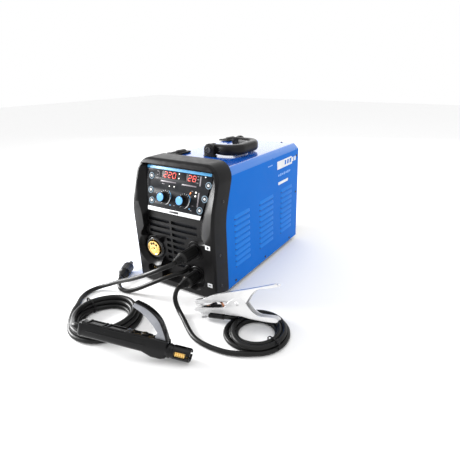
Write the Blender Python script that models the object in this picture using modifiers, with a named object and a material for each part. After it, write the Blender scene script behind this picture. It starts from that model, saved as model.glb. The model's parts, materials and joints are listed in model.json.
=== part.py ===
"""A portable wire-feed welder with its stick-electrode lead, earth lead and polarity lead.

Row frame: metres, +Z up, the front faces -Y. The origin is on the floor, under the middle of the machine.
"""
import math

import bmesh
import bpy
from mathutils import Matrix, Vector

# Casing and bezel, driving dimensions
HALF_WIDTH = 0.1257
BEZEL_HALF_WIDTH = 0.1275
TOTAL_DEPTH = 0.4826
BEZEL_DEPTH = 0.0525
CASE_LENGTH = 0.408
CASE_BOTTOM = 0.010
CASE_TOP = 0.320
BEZEL_BOTTOM = 0.004
BEZEL_TOP = 0.335
CHAMFER = 0.016
SHEET = 0.0015
GAP = 0.0003
FRONT = -TOTAL_DEPTH / 2
REAR = TOTAL_DEPTH / 2
JOINT = FRONT + BEZEL_DEPTH
CASE_END = JOINT + CASE_LENGTH

# The front leans back above its middle: an arc from LEAN_START to LEAN_FULL, then straight
LEAN = math.radians(18.5)
LEAN_START = 0.175
LEAN_FULL = 0.235
FRONT_LAG = 0.012
RECESS = 0.017
WEB = 0.004
LIP = 0.003

# Control panel, measured along its own slope from its lower edge
PANEL_FOOT_Z = 0.207
PANEL_LENGTH = 0.117
PANEL_THICKNESS = 0.003
PANEL_TOP_HALF = 0.1045
PANEL_BOTTOM_HALF = 0.0825
KNOB_PLACES = {"current_knob": (-0.033, 0.0376), "voltage_knob": (0.027, 0.0376)}
KNOB_RADIUS = 0.0135
KNOB_HEIGHT = 0.017
BUTTON_RADIUS = 0.006
BUTTON_PROUD = 0.0013
BUTTON_PLACES = {
    "button_left_top": (-0.083, 0.0855),
    "button_left_middle": (-0.080, 0.0506),
    "button_left_bottom": (-0.073, 0.0250),
    "button_right_top": (0.0945, 0.0833),
    "button_right_middle": (0.0884, 0.0510),
    "button_right_bottom": (0.0786, 0.0225),
}
DISPLAY_S = 0.0938
DISPLAY_HEIGHT = 0.017
DISPLAYS = ((-0.0265, 0.050), (0.0435, 0.036))

# Front connections
EURO_X, EURO_Z = -0.076, 0.101
SOCKET_X = 0.058
POSITIVE_Z, NEGATIVE_Z = 0.1225, 0.0535
PILL_RADIUS = 0.034
GLAND_X, GLAND_Z = 0.030, 0.064
PLUG_RADIUS = 0.0155

# Wire feeder and spool, in the left compartment
DIVIDER_X = -0.0200
FEED_Y = -0.112
ROLL_RADIUS = 0.0165
WIRE_DIAMETER = 0.0008
SPOOL_Y, SPOOL_Z = 0.085, 0.130
SPOOL_RADIUS, SPOOL_WIDTH = 0.100, 0.055

# Fan and rear fittings
FAN_X, FAN_Z = 0.054, 0.175
FAN_SIZE, FAN_DEPTH = 0.119, 0.025

# Carrying handle, folded flat to the right
HANDLE_Y = 0.0047
HANDLE_HALF_SPAN = 0.0595
HANDLE_REACH = 0.066
HANDLE_AXIS_Z = 0.3385
HANDLE_RADIUS = 0.0115
HUB_RADIUS = 0.015

# Side door over the wire feeder
SEAM_X = -0.1045
DOOR_AXIS_Z = 0.3237
DOOR_EASE = 0.0038
EASE_START, EASE_FULL = 0.245, 0.300
HINGE_LENGTH = 0.055
HINGE_PLACES = {"door_hinge_front": -0.077, "door_hinge_rear": 0.168}
LATCH_Y, LATCH_Z = -0.060, 0.058

# Welding leads
CABLE = 0.011
ELECTRODE_COIL = {"x": -0.052, "y": -0.4258, "inner": 0.048, "outer": 0.081, "height": 0.031}
EARTH_COIL = {"x": 0.273, "y": -0.2968, "inner": 0.0385, "outer": 0.0735, "height": 0.0225}
TUBE_SPACING = 0.026

ELECTRODE_ROUTE = [
    (0.058, -0.3013, 0.1225), (0.058, -0.3083, 0.1225), (0.052, -0.3200, 0.1205), (0.036, -0.3310, 0.1130),
    (0.008, -0.3360, 0.0980), (-0.026, -0.3350, 0.0800), (-0.066, -0.3325, 0.0600),
    (-0.109, -0.3290, 0.0400), (-0.150, -0.3300, 0.0205), (-0.180, -0.3420, 0.0085),
    (-0.1895, -0.3660, 0.0058), (-0.181, -0.3930, 0.0058), (-0.162, -0.4190, 0.0058),
    (-0.1480, -0.4400, 0.0058),
]
POLARITY_ROUTE = [
    (0.030, -0.2326, 0.0640), (0.030, -0.2396, 0.0640), (0.0270, -0.2510, 0.0638), (0.0170, -0.2650, 0.0620),
    (0.0000, -0.2800, 0.0560), (-0.0251, -0.2915, 0.0434), (-0.0541, -0.3000, 0.0275),
    (-0.0825, -0.3085, 0.0130), (-0.1060, -0.3160, 0.0058), (-0.1290, -0.3150, 0.0062),
    (-0.1470, -0.3040, 0.0105), (-0.1563, -0.2911, 0.0155), (-0.1600, -0.2844, 0.0155),
]
EARTH_ROUTE = [
    (0.058, -0.2913, 0.0535), (0.058, -0.2983, 0.0535), (0.0590, -0.3080, 0.0490), (0.0605, -0.3145, 0.0360),
    (0.0640, -0.3165, 0.0220), (0.0765, -0.3220, 0.0100), (0.0945, -0.3320, 0.0058),
    (0.1325, -0.3581, 0.0058), (0.1597, -0.3743, 0.0058), (0.1850, -0.3824, 0.0058),
    (0.2128, -0.3848, 0.0058), (0.2370, -0.3833, 0.0058), (0.2600, -0.3785, 0.0058),
]
FREE_PLUG_HEADING = math.radians(119.0)
FREE_PLUG_LENGTH = 0.062

# Electrode holder and earth clamp: origin, heading, rise and backward lean of each
HOLDER_PLACE = ((-0.0144, -0.5095, 0.0463), 19.4, -8.5, 20.0)
CLAMP_PLACE = ((0.1365, -0.3213, 0.0105), 12.0, 10.2, 20.0)
HOLDER_PIVOT = (0.1795, 0.0130)
CLAMP_PIVOT = (0.095, 0.034)
CLAMP_WIDTH = 0.024

PARTS = bpy.data.collections.new("portable_welder")


# ---------------------------------------------------------------- helpers

def clear_scene():
    for old in list(bpy.data.objects):
        bpy.data.objects.remove(old, do_unlink=True)
    bpy.context.scene.collection.children.link(PARTS)


def finish(name, colour, roughness, metallic=0.0):
    """A Principled material."""
    material = bpy.data.materials.new(name)
    material.use_nodes = True
    shader = material.node_tree.nodes["Principled BSDF"]
    shader.inputs["Base Color"].default_value = (*colour, 1.0)
    shader.inputs["Roughness"].default_value = roughness
    shader.inputs["Metallic"].default_value = metallic
    return material


def add_mesh(name, mesh, smooth=False):
    obj = bpy.data.objects.new(name, mesh)
    PARTS.objects.link(obj)
    if smooth:
        mesh.shade_smooth()
        mesh.set_sharp_from_angle(angle=math.radians(35))
    return obj


def from_bmesh(name, bm, smooth=False):
    mesh = bpy.data.meshes.new(name)
    bm.to_mesh(mesh)
    bm.free()
    return add_mesh(name, mesh, smooth)


def evaluated(obj):
    """Apply an object's modifiers, or turn a curve into a welded mesh."""
    bpy.context.view_layer.update()
    graph = bpy.context.evaluated_depsgraph_get()
    mesh = bpy.data.meshes.new_from_object(obj.evaluated_get(graph))
    place = obj.matrix_world.copy()
    bm = bmesh.new()
    bm.from_mesh(mesh)
    bmesh.ops.remove_doubles(bm, verts=bm.verts, dist=0.000005)
    bmesh.ops.recalc_face_normals(bm, faces=bm.faces)
    bm.to_mesh(mesh)
    bm.free()
    mesh.materials.clear()
    name = obj.name
    bpy.data.objects.remove(obj, do_unlink=True)
    result = add_mesh(name, mesh)
    result.matrix_world = place
    return result


def settle(obj, origin=(0.0, 0.0, 0.0)):
    """Move an object's origin, with its axes along the row's, and leave its shape where it is."""
    bpy.context.view_layer.update()
    obj.data.transform(Matrix.Translation(-Vector(origin)) @ obj.matrix_world)
    obj.matrix_world = Matrix.Translation(origin)
    return obj


def box(name, low, high, bevel=0.0):
    low, high = Vector(low), Vector(high)
    bm = bmesh.new()
    size = Matrix.Diagonal((*(high - low), 1.0))
    bmesh.ops.create_cube(bm, size=1.0, matrix=Matrix.Translation((low + high) / 2) @ size)
    if bevel:
        bmesh.ops.bevel(bm, geom=bm.edges, offset=bevel, segments=1, affect="EDGES")
    return from_bmesh(name, bm)


def rod(name, start, end, radius, sides=24, end_radius=None):
    """A cylinder or cone between two points."""
    start, end = Vector(start), Vector(end)
    turn = (end - start).to_track_quat("Z", "Y").to_matrix().to_4x4()
    bm = bmesh.new()
    bmesh.ops.create_cone(bm, cap_ends=True, segments=sides, radius1=radius,
                          radius2=radius if end_radius is None else end_radius,
                          depth=(end - start).length, matrix=Matrix.Translation((start + end) / 2) @ turn)
    return from_bmesh(name, bm, smooth=True)


def prism(name, outline, thickness, place):
    """A flat outline, extruded both ways from the plane of place."""
    curve = bpy.data.curves.new(name, "CURVE")
    curve.dimensions = "2D"
    curve.fill_mode = "BOTH"
    curve.extrude = thickness / 2
    spline = curve.splines.new("POLY")
    spline.points.add(len(outline) - 1)
    for point, (u, v) in zip(spline.points, outline):
        point.co = (u, v, 0.0, 1.0)
    spline.use_cyclic_u = True
    obj = bpy.data.objects.new(name, curve)
    PARTS.objects.link(obj)
    obj.matrix_world = place
    return evaluated(obj)


def turned(name, profile, place, steps=24):
    """A closed or axis-to-axis (radius, height) profile turned about the Z axis of place."""
    mesh = bpy.data.meshes.new(name)
    closed = min(radius for radius, _ in profile) > 0.00001
    edges = [(i, i + 1) for i in range(len(profile) - 1)]
    if closed:
        edges.append((len(profile) - 1, 0))
    mesh.from_pydata([(radius, 0.0, height) for radius, height in profile], edges, [])
    obj = bpy.data.objects.new(name, mesh)
    PARTS.objects.link(obj)
    screw = obj.modifiers.new("turn", "SCREW")
    screw.axis = "Z"
    screw.steps = steps
    screw.render_steps = steps
    screw.use_merge_vertices = True
    screw.merge_threshold = 0.00001
    obj.matrix_world = place
    obj = evaluated(obj)
    obj.data.shade_smooth()
    obj.data.set_sharp_from_angle(angle=math.radians(35))
    return obj


def tube(name, points, radius, resolution=2):
    curve = bpy.data.curves.new(name, "CURVE")
    curve.dimensions = "3D"
    curve.bevel_depth = radius
    curve.bevel_resolution = resolution
    curve.use_fill_caps = True
    spline = curve.splines.new("POLY")
    spline.points.add(len(points) - 1)
    for point, place in zip(spline.points, points):
        point.co = (*place, 1.0)
    obj = bpy.data.objects.new(name, curve)
    PARTS.objects.link(obj)
    return evaluated(obj)


def combine(target, others, operation):
    for other in others:
        modifier = target.modifiers.new(operation.lower(), "BOOLEAN")
        modifier.operation = operation
        modifier.solver = "EXACT"
        modifier.object = other
    name = target.name
    target = evaluated(target)
    for other in others:
        bpy.data.objects.remove(other, do_unlink=True)
    target.name = name
    return target


def cut(target, cutters):
    return combine(target, cutters, "DIFFERENCE")


def join(target, others):
    return combine(target, others, "UNION")


def paint(obj, material, smooth=False):
    obj.data.materials.append(material)
    if smooth:
        obj.data.shade_smooth()
        obj.data.set_sharp_from_angle(angle=math.radians(35))
    return obj


def front_view(y):
    """Places an (x, z) outline in the upright plane at y, its thickness along Y."""
    return Matrix.Translation((0, y, 0)) @ Matrix.Rotation(math.radians(90), 4, "X")


def side_view(x):
    """Places a (y, z) outline in the upright plane at x, its thickness along X."""
    turn = Matrix(((0, 0, 1, x), (1, 0, 0, 0), (0, 1, 0, 0), (0, 0, 0, 1)))
    return turn


def forward_axis(x, y, z):
    """Local Z points along -Y, out of the front."""
    return Matrix.Translation((x, y, z)) @ Matrix.Rotation(math.radians(90), 4, "X")


def backward_axis(x, y, z):
    """Local Z points along +Y, out of the rear."""
    return Matrix.Translation((x, y, z)) @ Matrix.Rotation(math.radians(-90), 4, "X")


def left_axis(x, y, z):
    """Local Z points along -X."""
    return Matrix.Translation((x, y, z)) @ Matrix.Rotation(math.radians(-90), 4, "Y")


def leaning_frame(origin, heading, rise, lean):
    """Axes of a hand tool laid down: local X along it, local Y up and leaning back."""
    heading, rise, lean = (math.radians(angle) for angle in (heading, rise, lean))
    along = Vector((math.cos(rise) * math.cos(heading), math.cos(rise) * math.sin(heading), math.sin(rise)))
    up = (Vector((0, 0, 1)) - along.z * along).normalized()
    back = up.cross(along)
    up = math.cos(lean) * up + math.sin(lean) * back
    out = along.cross(up)
    frame = Matrix((along, up, out)).transposed().to_4x4()
    frame.translation = origin
    return frame


def arc(centre, radius, start, end, count):
    """Points of an arc in degrees."""
    angles = [math.radians(start + (end - start) * i / (count - 1)) for i in range(count)]
    return [(centre[0] + radius * math.cos(a), centre[1] + radius * math.sin(a)) for a in angles]


def smooth_route(points, spacing):
    """A straight piece at each end, and between them evenly spaced points of a Catmull-Rom curve."""
    first, *points, last = [Vector(point) for point in points]
    padded = [2 * points[0] - points[1], *points, 2 * points[-1] - points[-2]]
    fine = [points[0]]
    for a, b, c, d in zip(padded, padded[1:], padded[2:], padded[3:]):
        for step in range(1, 17):
            t = step / 16
            fine.append(0.5 * (2 * b + (c - a) * t + (2 * a - 5 * b + 4 * c - d) * t * t
                               + (3 * b - a - 3 * c + d) * t * t * t))
    lengths = [0.0]
    for a, b in zip(fine, fine[1:]):
        lengths.append(lengths[-1] + (b - a).length)
    count = max(2, round(lengths[-1] / spacing))
    result = [first]
    index = 0
    for step in range(count + 1):
        target = lengths[-1] * step / count
        while index < len(lengths) - 2 and lengths[index + 1] < target:
            index += 1
        share = (target - lengths[index]) / max(lengths[index + 1] - lengths[index], 1e-9)
        result.append(fine[index].lerp(fine[index + 1], min(share, 1.0)))
    return [*result, last]


# ---------------------------------------------------------------- the leaning front

def bow(z):
    """How far the front has leaned back at height z."""
    radius = (LEAN_FULL - LEAN_START) / math.sin(LEAN)
    if z <= LEAN_START:
        return 0.0
    if z < LEAN_FULL:
        return radius - math.sqrt(radius ** 2 - (z - LEAN_START) ** 2)
    return radius * (1 - math.cos(LEAN)) + (z - LEAN_FULL) * math.tan(LEAN)


def lean_back(obj):
    """Shear a bezel that was modelled flat, in bands of height."""
    settle(obj)
    bm = bmesh.new()
    bm.from_mesh(obj.data)
    levels = [LEAN_START + (LEAN_FULL + FRONT_LAG - LEAN_START) * i / 6 for i in range(7)]
    for level in levels:
        geometry = list(bm.verts) + list(bm.edges) + list(bm.faces)
        bmesh.ops.bisect_plane(bm, geom=geometry, plane_co=(0, 0, level), plane_no=(0, 0, 1), dist=0.000001)
    for vertex in bm.verts:
        share = min(max((vertex.co.y - FRONT) / BEZEL_DEPTH, 0.0), 1.0)
        vertex.co.y += bow(vertex.co.z - FRONT_LAG * (1 - share))
    bmesh.ops.triangulate(bm, faces=bm.faces)
    bm.to_mesh(obj.data)
    bm.free()
    return obj


def panel_frame(x=0.0, s=0.0, proud=0.0):
    """Local X right, local Y up the panel's slope, local Z out of its face."""
    lag = FRONT_LAG * (1 - RECESS / BEZEL_DEPTH)
    foot = FRONT + RECESS - GAP + bow(LEAN_FULL) + (PANEL_FOOT_Z - lag - LEAN_FULL) * math.tan(LEAN)
    right = Vector((1, 0, 0))
    up = Vector((0, math.sin(LEAN), math.cos(LEAN)))
    out = right.cross(up)
    frame = Matrix((right, up, out)).transposed().to_4x4()
    face = PANEL_THICKNESS + GAP
    frame.translation = Vector((0, foot, PANEL_FOOT_Z)) + x * right + s * up + (face + proud) * out
    return frame


# ---------------------------------------------------------------- bezel and panel

def bezel_outline(inset=0.0):
    half = BEZEL_HALF_WIDTH - inset
    low, high = BEZEL_BOTTOM + inset, BEZEL_TOP - inset
    foot, shoulder = 0.014 - inset / 2, 0.042 - inset
    points = arc((half - foot, low + foot), foot, -90, 0, 4)
    points += arc((half - shoulder, high - shoulder), shoulder, 0, 90, 9)
    points += arc((shoulder - half, high - shoulder), shoulder, 90, 180, 9)
    points += arc((foot - half, low + foot), foot, 180, 270, 4)
    return points


def casing_outline(inset=0.0):
    half = HALF_WIDTH - inset
    low, high = CASE_BOTTOM + inset, CASE_TOP - inset
    return [(-half, low), (half, low), (half, high - CHAMFER), (half - CHAMFER, high), (CHAMFER - half, high),
            (-half, high - CHAMFER)]


def bezel_recess():
    """The sunk field: panel seat, vent field, euro cup and socket pill, as one outline each."""
    top_half, seat_top, seat_foot = PANEL_TOP_HALF + 0.003, 0.322, 0.200
    corner = 0.016
    seat = [(-PANEL_BOTTOM_HALF - 0.012, seat_foot), (PANEL_BOTTOM_HALF + 0.012, seat_foot)]
    seat += arc((top_half - corner, seat_top - corner), corner, 0, 90, 5)
    seat += arc((corner - top_half, seat_top - corner), corner, 90, 180, 5)
    field = [(-0.1035, 0.024), (0.040, 0.024), (0.040, 0.160), (0.0945, 0.200001), (-0.1035, 0.200001)]
    pill = arc((SOCKET_X, NEGATIVE_Z), PILL_RADIUS, 180, 360, 11)
    pill += arc((SOCKET_X, POSITIVE_Z), PILL_RADIUS, 0, 180, 11)
    cup = arc((EURO_X, EURO_Z), 0.035, 0, 345, 24)
    return seat, field, pill, cup


def vent_slots():
    """Two columns of horizontal slots, shortened beside the euro cup and the socket pill."""
    slots = []
    for row in range(8):
        z = 0.182 - 0.0165 * row
        half = 0.0045
        left_start = -0.098
        right_end = 0.068
        if z < EURO_Z + 0.044:
            left_start = -0.036
        if z < POSITIVE_Z + PILL_RADIUS + 0.004:
            right_end = 0.016
        for start, end in ((left_start, -0.0215), (-0.0155, right_end)):
            slots.append(box("slot", (start, FRONT, z - half), (end, FRONT + 0.030, z + half)))
    return slots


def front_bezel(material):
    middle = FRONT + BEZEL_DEPTH / 2
    body = prism("front_bezel", bezel_outline(), BEZEL_DEPTH, front_view(middle))
    round_over = body.modifiers.new("rim", "BEVEL")
    round_over.width = 0.009
    round_over.segments = 2
    round_over.limit_method = "ANGLE"
    body = cut(evaluated(body), [box("rear", (-1, JOINT, -1), (1, JOINT + 1, 1))])
    start, end = FRONT + RECESS + WEB, JOINT - LIP
    cavity = prism("cavity", bezel_outline(0.0035), end - start, front_view((start + end) / 2))
    mouth = prism("mouth", casing_outline(0.0060), 0.020, front_view(JOINT))
    body = cut(body, [join(cavity, [mouth])])
    for outline in bezel_recess():
        body = cut(body, [prism("recess", outline, 2 * RECESS, front_view(FRONT))])
    body = cut(body, vent_slots())
    web_y = FRONT + RECESS + WEB / 2
    window = box("window", (-0.075, web_y - 0.02, 0.224), (0.075, web_y + 0.02, 0.306))
    holes = [rod("hole", (x, web_y - 0.012, z), (x, web_y + 0.012, z), radius)
             for x, z, radius in ((EURO_X, EURO_Z, 0.0225), (SOCKET_X, POSITIVE_Z, 0.0125),
                                  (SOCKET_X, NEGATIVE_Z, 0.0125), (GLAND_X, GLAND_Z, 0.0075))]
    body = cut(body, [window, *holes])
    paint(lean_back(body), material)


def control_panel(material):
    bottom, top = PANEL_BOTTOM_HALF, PANEL_TOP_HALF
    outline = [(-bottom, 0.0), (bottom, 0.0), (top, PANEL_LENGTH - 0.010), (top - 0.010, PANEL_LENGTH),
               (0.010 - top, PANEL_LENGTH), (-top, PANEL_LENGTH - 0.010)]
    frame = panel_frame(proud=-PANEL_THICKNESS / 2)
    panel = prism("control_panel", outline, PANEL_THICKNESS, frame)
    cutters = []
    for x, s in KNOB_PLACES.values():
        cutters.append(prism("hole", arc((x, s), 0.0042, 0, 342, 20), 0.02, frame))
    for x, s in BUTTON_PLACES.values():
        cutters.append(prism("hole", arc((x, s), BUTTON_RADIUS + GAP, 0, 345, 24), 0.02, frame))
    for x, width in DISPLAYS:
        cutters.append(prism("hole", rectangle(x, DISPLAY_S, width, DISPLAY_HEIGHT), 0.02, frame))
    paint(cut(panel, cutters), material)


def rectangle(u, v, width, height):
    left, right, low, high = u - width / 2, u + width / 2, v - height / 2, v + height / 2
    return [(left, low), (right, low), (right, high), (left, high)]


def display_module(material):
    """The board behind the panel, with two readouts that stand up into its windows."""
    board = prism("display_module", rectangle(0, 0.061, 0.140, 0.082), 0.0016, panel_frame(proud=-0.0098))
    readouts = [prism("readout", rectangle(x, DISPLAY_S, width - 2 * GAP, DISPLAY_HEIGHT - 2 * GAP), 0.0092,
                      panel_frame(proud=-0.0050)) for x, width in DISPLAYS]
    paint(join(board, readouts), material)


def knob(name, place, material):
    shaft = 0.0038
    edge, top = KNOB_RADIUS, KNOB_HEIGHT
    profile = [(0, top), (edge - 0.003, top), (edge - 0.002, top - 0.001), (edge - 0.001, 0.004),
               (edge, 0.003), (edge, GAP), (shaft, GAP), (shaft, -0.003),
               (0, -0.003)]
    paint(turned(name, profile, panel_frame(*place), 28), material, smooth=True)


def button(name, place, material):
    """A cap with its domed edge, 1.3 mm proud and 1.3 mm sunk."""
    edge = BUTTON_RADIUS - 0.0006
    profile = [(0, BUTTON_PROUD), (edge, BUTTON_PROUD), (BUTTON_RADIUS, BUTTON_PROUD - 0.0006),
               (BUTTON_RADIUS, -BUTTON_PROUD), (0, -BUTTON_PROUD)]
    paint(turned(name, profile, panel_frame(*place), 16), material, smooth=True)


def euro_connector(black, brass):
    flange = [(0.0290, 0.0045), (0.0290, GAP), (0.0222, GAP), (0.0222, -0.0060),
              (0.0206, -0.0060), (0.0206, 0.0045)]
    seat = forward_axis(EURO_X, FRONT + RECESS, EURO_Z)
    paint(turned("euro_flange", flange, seat, 28), black, smooth=True)
    body = [(0.0203, 0.010), (0.0203, -0.022), (0.0110, -0.022), (0.0110, -0.038), (0.0016, -0.038),
            (0.0016, -0.004), (0.0050, -0.004), (0.0050, 0.010)]
    paint(turned("euro_socket", body, seat, 28), brass, smooth=True)


def power_socket(name, z, material):
    profile = [(0.0165, 0.0040), (0.0165, 0.0003), (0.0122, 0.0003), (0.0122, -0.0280), (0.0030, -0.0280),
               (0.0030, -0.0260), (0.0064, -0.0260), (0.0064, 0.0040)]
    paint(turned(name, profile, forward_axis(SOCKET_X, FRONT + RECESS, z), 24), material, smooth=True)


def plug_profile(length):
    """A bayonet plug: its pin behind zero, its grip and tapered boot ahead of it."""
    return [(0, length), (CABLE / 2 + 0.0025, length), (CABLE / 2 + 0.0045, length - 0.018),
            (PLUG_RADIUS, length - 0.024), (PLUG_RADIUS, 0.0030), (PLUG_RADIUS - 0.002, 0.0), (0.0060, 0.0),
            (0.0060, -0.0220), (0.0045, -0.0240), (0, -0.0240)]


def plugs(material):
    face = FRONT + RECESS - 0.0040 - GAP
    along = Vector((math.cos(FREE_PLUG_HEADING), math.sin(FREE_PLUG_HEADING), 0))
    free_seat = Vector(POLARITY_ROUTE[-1]) + (FREE_PLUG_LENGTH + GAP) * along
    turn = (-along).to_track_quat("Z", "Y").to_matrix().to_4x4()
    places = {
        "electrode_plug": (face - ELECTRODE_ROUTE[0][1] - GAP, forward_axis(SOCKET_X, face, POSITIVE_Z)),
        "earth_plug": (face - EARTH_ROUTE[0][1] - GAP, forward_axis(SOCKET_X, face, NEGATIVE_Z)),
        "polarity_plug": (FREE_PLUG_LENGTH, Matrix.Translation(free_seat) @ turn),
    }
    for name, (length, place) in places.items():
        paint(turned(name, plug_profile(length), place, 20), material, smooth=True)


def polarity_gland(material):
    profile = [(0.0090, 0.0080), (0.0100, 0.0070), (0.0100, GAP), (0.0072, GAP), (0.0072, -0.0100),
               (0.0040, -0.0100), (0.0040, 0.0080)]
    place = forward_axis(GLAND_X, FRONT + RECESS, GLAND_Z)
    paint(turned("polarity_gland", profile, place, 20), material, smooth=True)


# ---------------------------------------------------------------- casing

def casing_levels():
    """Heights at which the casing's front edge follows the bezel."""
    count = 6
    return [LEAN_START + (LEAN_FULL - LEAN_START) * i / count for i in range(count + 1)]


def bent_sheet(name, outline, ease=0.0):
    """A folded sheet from the bezel's joint to the casing's rear end, its top corner eased back by ease."""
    middle = (JOINT + GAP + CASE_END) / 2
    sheet = settle(prism(name, outline, CASE_END - JOINT - GAP, front_view(middle)))
    bm = bmesh.new()
    bm.from_mesh(sheet.data)
    for level in [*casing_levels(), EASE_START, EASE_FULL]:
        geometry = list(bm.verts) + list(bm.edges) + list(bm.faces)
        bmesh.ops.bisect_plane(bm, geom=geometry, plane_co=(0, 0, level), plane_no=(0, 0, 1), dist=0.000001)
    for vertex in bm.verts:
        if vertex.co.y < middle:
            share = (vertex.co.z - EASE_START) / (EASE_FULL - EASE_START)
            vertex.co.y += bow(vertex.co.z) + ease * min(max(share, 0.0), 1.0)
    bmesh.ops.triangulate(bm, faces=bm.faces)
    bm.to_mesh(sheet.data)
    bm.free()
    return sheet


def louvres():
    """Three banks of nine slots in the right side."""
    slots = []
    for start, end in ((-0.1515, -0.0780), (-0.0270, 0.0535), (0.1010, 0.1765)):
        for row in range(9):
            z = 0.062 + 0.0165 * row
            low, high = (HALF_WIDTH - 0.006, start, z - 0.002), (HALF_WIDTH + 0.006, end, z + 0.002)
            slots.append(box("louvre", low, high))
    return slots


def cover_shell(material):
    outer, foot, shoulder = HALF_WIDTH, CASE_BOTTOM + 0.0005, CASE_TOP - CHAMFER
    inner_step = SHEET * math.tan(math.radians(22.5))
    outline = [(SEAM_X + GAP, CASE_TOP), (SEAM_X + GAP, CASE_TOP - SHEET),
               (outer - CHAMFER - inner_step, CASE_TOP - SHEET), (outer - SHEET, shoulder - inner_step),
               (outer - SHEET, foot), (outer, foot), (outer, shoulder), (outer - CHAMFER, CASE_TOP)]
    paint(cut(bent_sheet("cover_shell", outline), louvres()), material)


def feeder_door(material):
    outer, foot, shoulder = -HALF_WIDTH, CASE_BOTTOM + 0.0005, CASE_TOP - CHAMFER
    inner_step = SHEET * math.tan(math.radians(22.5))
    outline = [(outer, foot), (outer + SHEET, foot), (outer + SHEET, shoulder - inner_step),
               (outer + CHAMFER + inner_step, CASE_TOP - SHEET), (SEAM_X, CASE_TOP - SHEET),
               (SEAM_X, CASE_TOP),
               (outer + CHAMFER, CASE_TOP), (outer, shoulder)]
    hole = rod("hole", (outer - 0.01, LATCH_Y, LATCH_Z), (outer + 0.01, LATCH_Y, LATCH_Z), 0.0140)
    door = cut(bent_sheet("feeder_door", outline, DOOR_EASE), [hole])
    paint(settle(door, (SEAM_X, (JOINT + CASE_END) / 2, DOOR_AXIS_Z)), material)


def door_latch(material):
    """A flush quarter-turn button with a finger slot and a cam behind the door."""
    outer = -HALF_WIDTH
    ends = [(outer - 0.0012, LATCH_Y, LATCH_Z), (outer + 0.0062, LATCH_Y, LATCH_Z)]
    body = rod("door_latch", *ends, 0.0136, 28)
    slot = box("slot", (outer - 0.01, LATCH_Y - 0.010, LATCH_Z - 0.0015),
               (outer + 0.0022, LATCH_Y + 0.010, LATCH_Z + 0.0015))
    cam = box("cam", (outer + 0.0045, LATCH_Y - 0.005, LATCH_Z - 0.024),
              (outer + 0.0062, LATCH_Y + 0.005, LATCH_Z + 0.004))
    paint(settle(join(cut(body, [slot]), [cam]), (outer, LATCH_Y, LATCH_Z)), material)


def door_hinge(name, y, material):
    """The fixed half of a plastic hinge: a foot on the cover and its barrel over the seam."""
    start, end = y - HINGE_LENGTH / 2, y + HINGE_LENGTH / 2
    low, high = (SEAM_X + 0.002, start, CASE_TOP + GAP), (SEAM_X + 0.021, end, CASE_TOP + 0.0045)
    foot = box(name, low, high, 0.0008)
    ends = [(SEAM_X, start + 0.014, DOOR_AXIS_Z), (SEAM_X, end - 0.014, DOOR_AXIS_Z)]
    barrel = rod("barrel", *ends, 0.0030, 16)
    paint(join(foot, [barrel]), material)


def base_pan(material):
    front, rear, half = JOINT + 2 * GAP, CASE_END - 0.0068, HALF_WIDTH - SHEET - 0.0004
    thickness, flange = 0.0018, 0.018
    low, floor, high = CASE_BOTTOM, CASE_BOTTOM + thickness, CASE_BOTTOM + flange
    outline = [(-half, low), (half, low), (half, high), (half - SHEET, high), (half - SHEET, floor),
               (SHEET - half, floor), (SHEET - half, high), (-half, high)]
    paint(prism("base_pan", outline, rear - front, front_view((front + rear) / 2)), material)


def rear_panel(material):
    half, low, high = HALF_WIDTH - SHEET - 0.0004, CASE_BOTTOM + 0.0005, CASE_TOP - SHEET - 0.0006
    corner = CHAMFER
    outline = [(-half, low), (half, low), (half, high - corner), (half - corner, high), (corner - half, high),
               (-half, high - corner)]
    y = CASE_END - 0.0055
    panel = prism("rear_panel", outline, 0.002, front_view(y))
    places = ((FAN_X, FAN_Z, 0.0555, 40), (-0.070, 0.060, 0.0068, 16), (0.030, 0.050, 0.0092, 20))
    holes = [rod("hole", (x, y - 0.01, z), (x, y + 0.01, z), radius, sides) for x, z, radius, sides in places]
    window = box("window", (-0.0905, y - 0.01, 0.2395), (-0.0595, y + 0.01, 0.2805))
    paint(cut(panel, [*holes, window]), material)


def foot(name, x, y, material):
    profile = [(0, CASE_BOTTOM - GAP), (0.0125, CASE_BOTTOM - GAP), (0.0110, 0.0), (0, 0.0)]
    paint(turned(name, profile, Matrix.Translation((x, y, 0)), 18), material, smooth=True)


# ---------------------------------------------------------------- carrying handle

def handle_bracket(name, side, material):
    """A domed ear with its pivot pin, bolted to the top."""
    face = HANDLE_Y + side * (HANDLE_HALF_SPAN + 0.0085)
    low = CASE_TOP + GAP
    outline = arc((0, HANDLE_AXIS_Z), HUB_RADIUS, 0, 180, 13)
    outline += [(-HUB_RADIUS - 0.001, low), (HUB_RADIUS + 0.001, low)]
    ear = prism(name, outline, 0.012, front_view(face + side * 0.006))
    ends = [(0, face + side * 0.006, HANDLE_AXIS_Z), (0, face - side * 0.0155, HANDLE_AXIS_Z)]
    pin = rod("pin", *ends, 0.0040, 16)
    paint(join(ear, [pin]), material, smooth=True)


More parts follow.
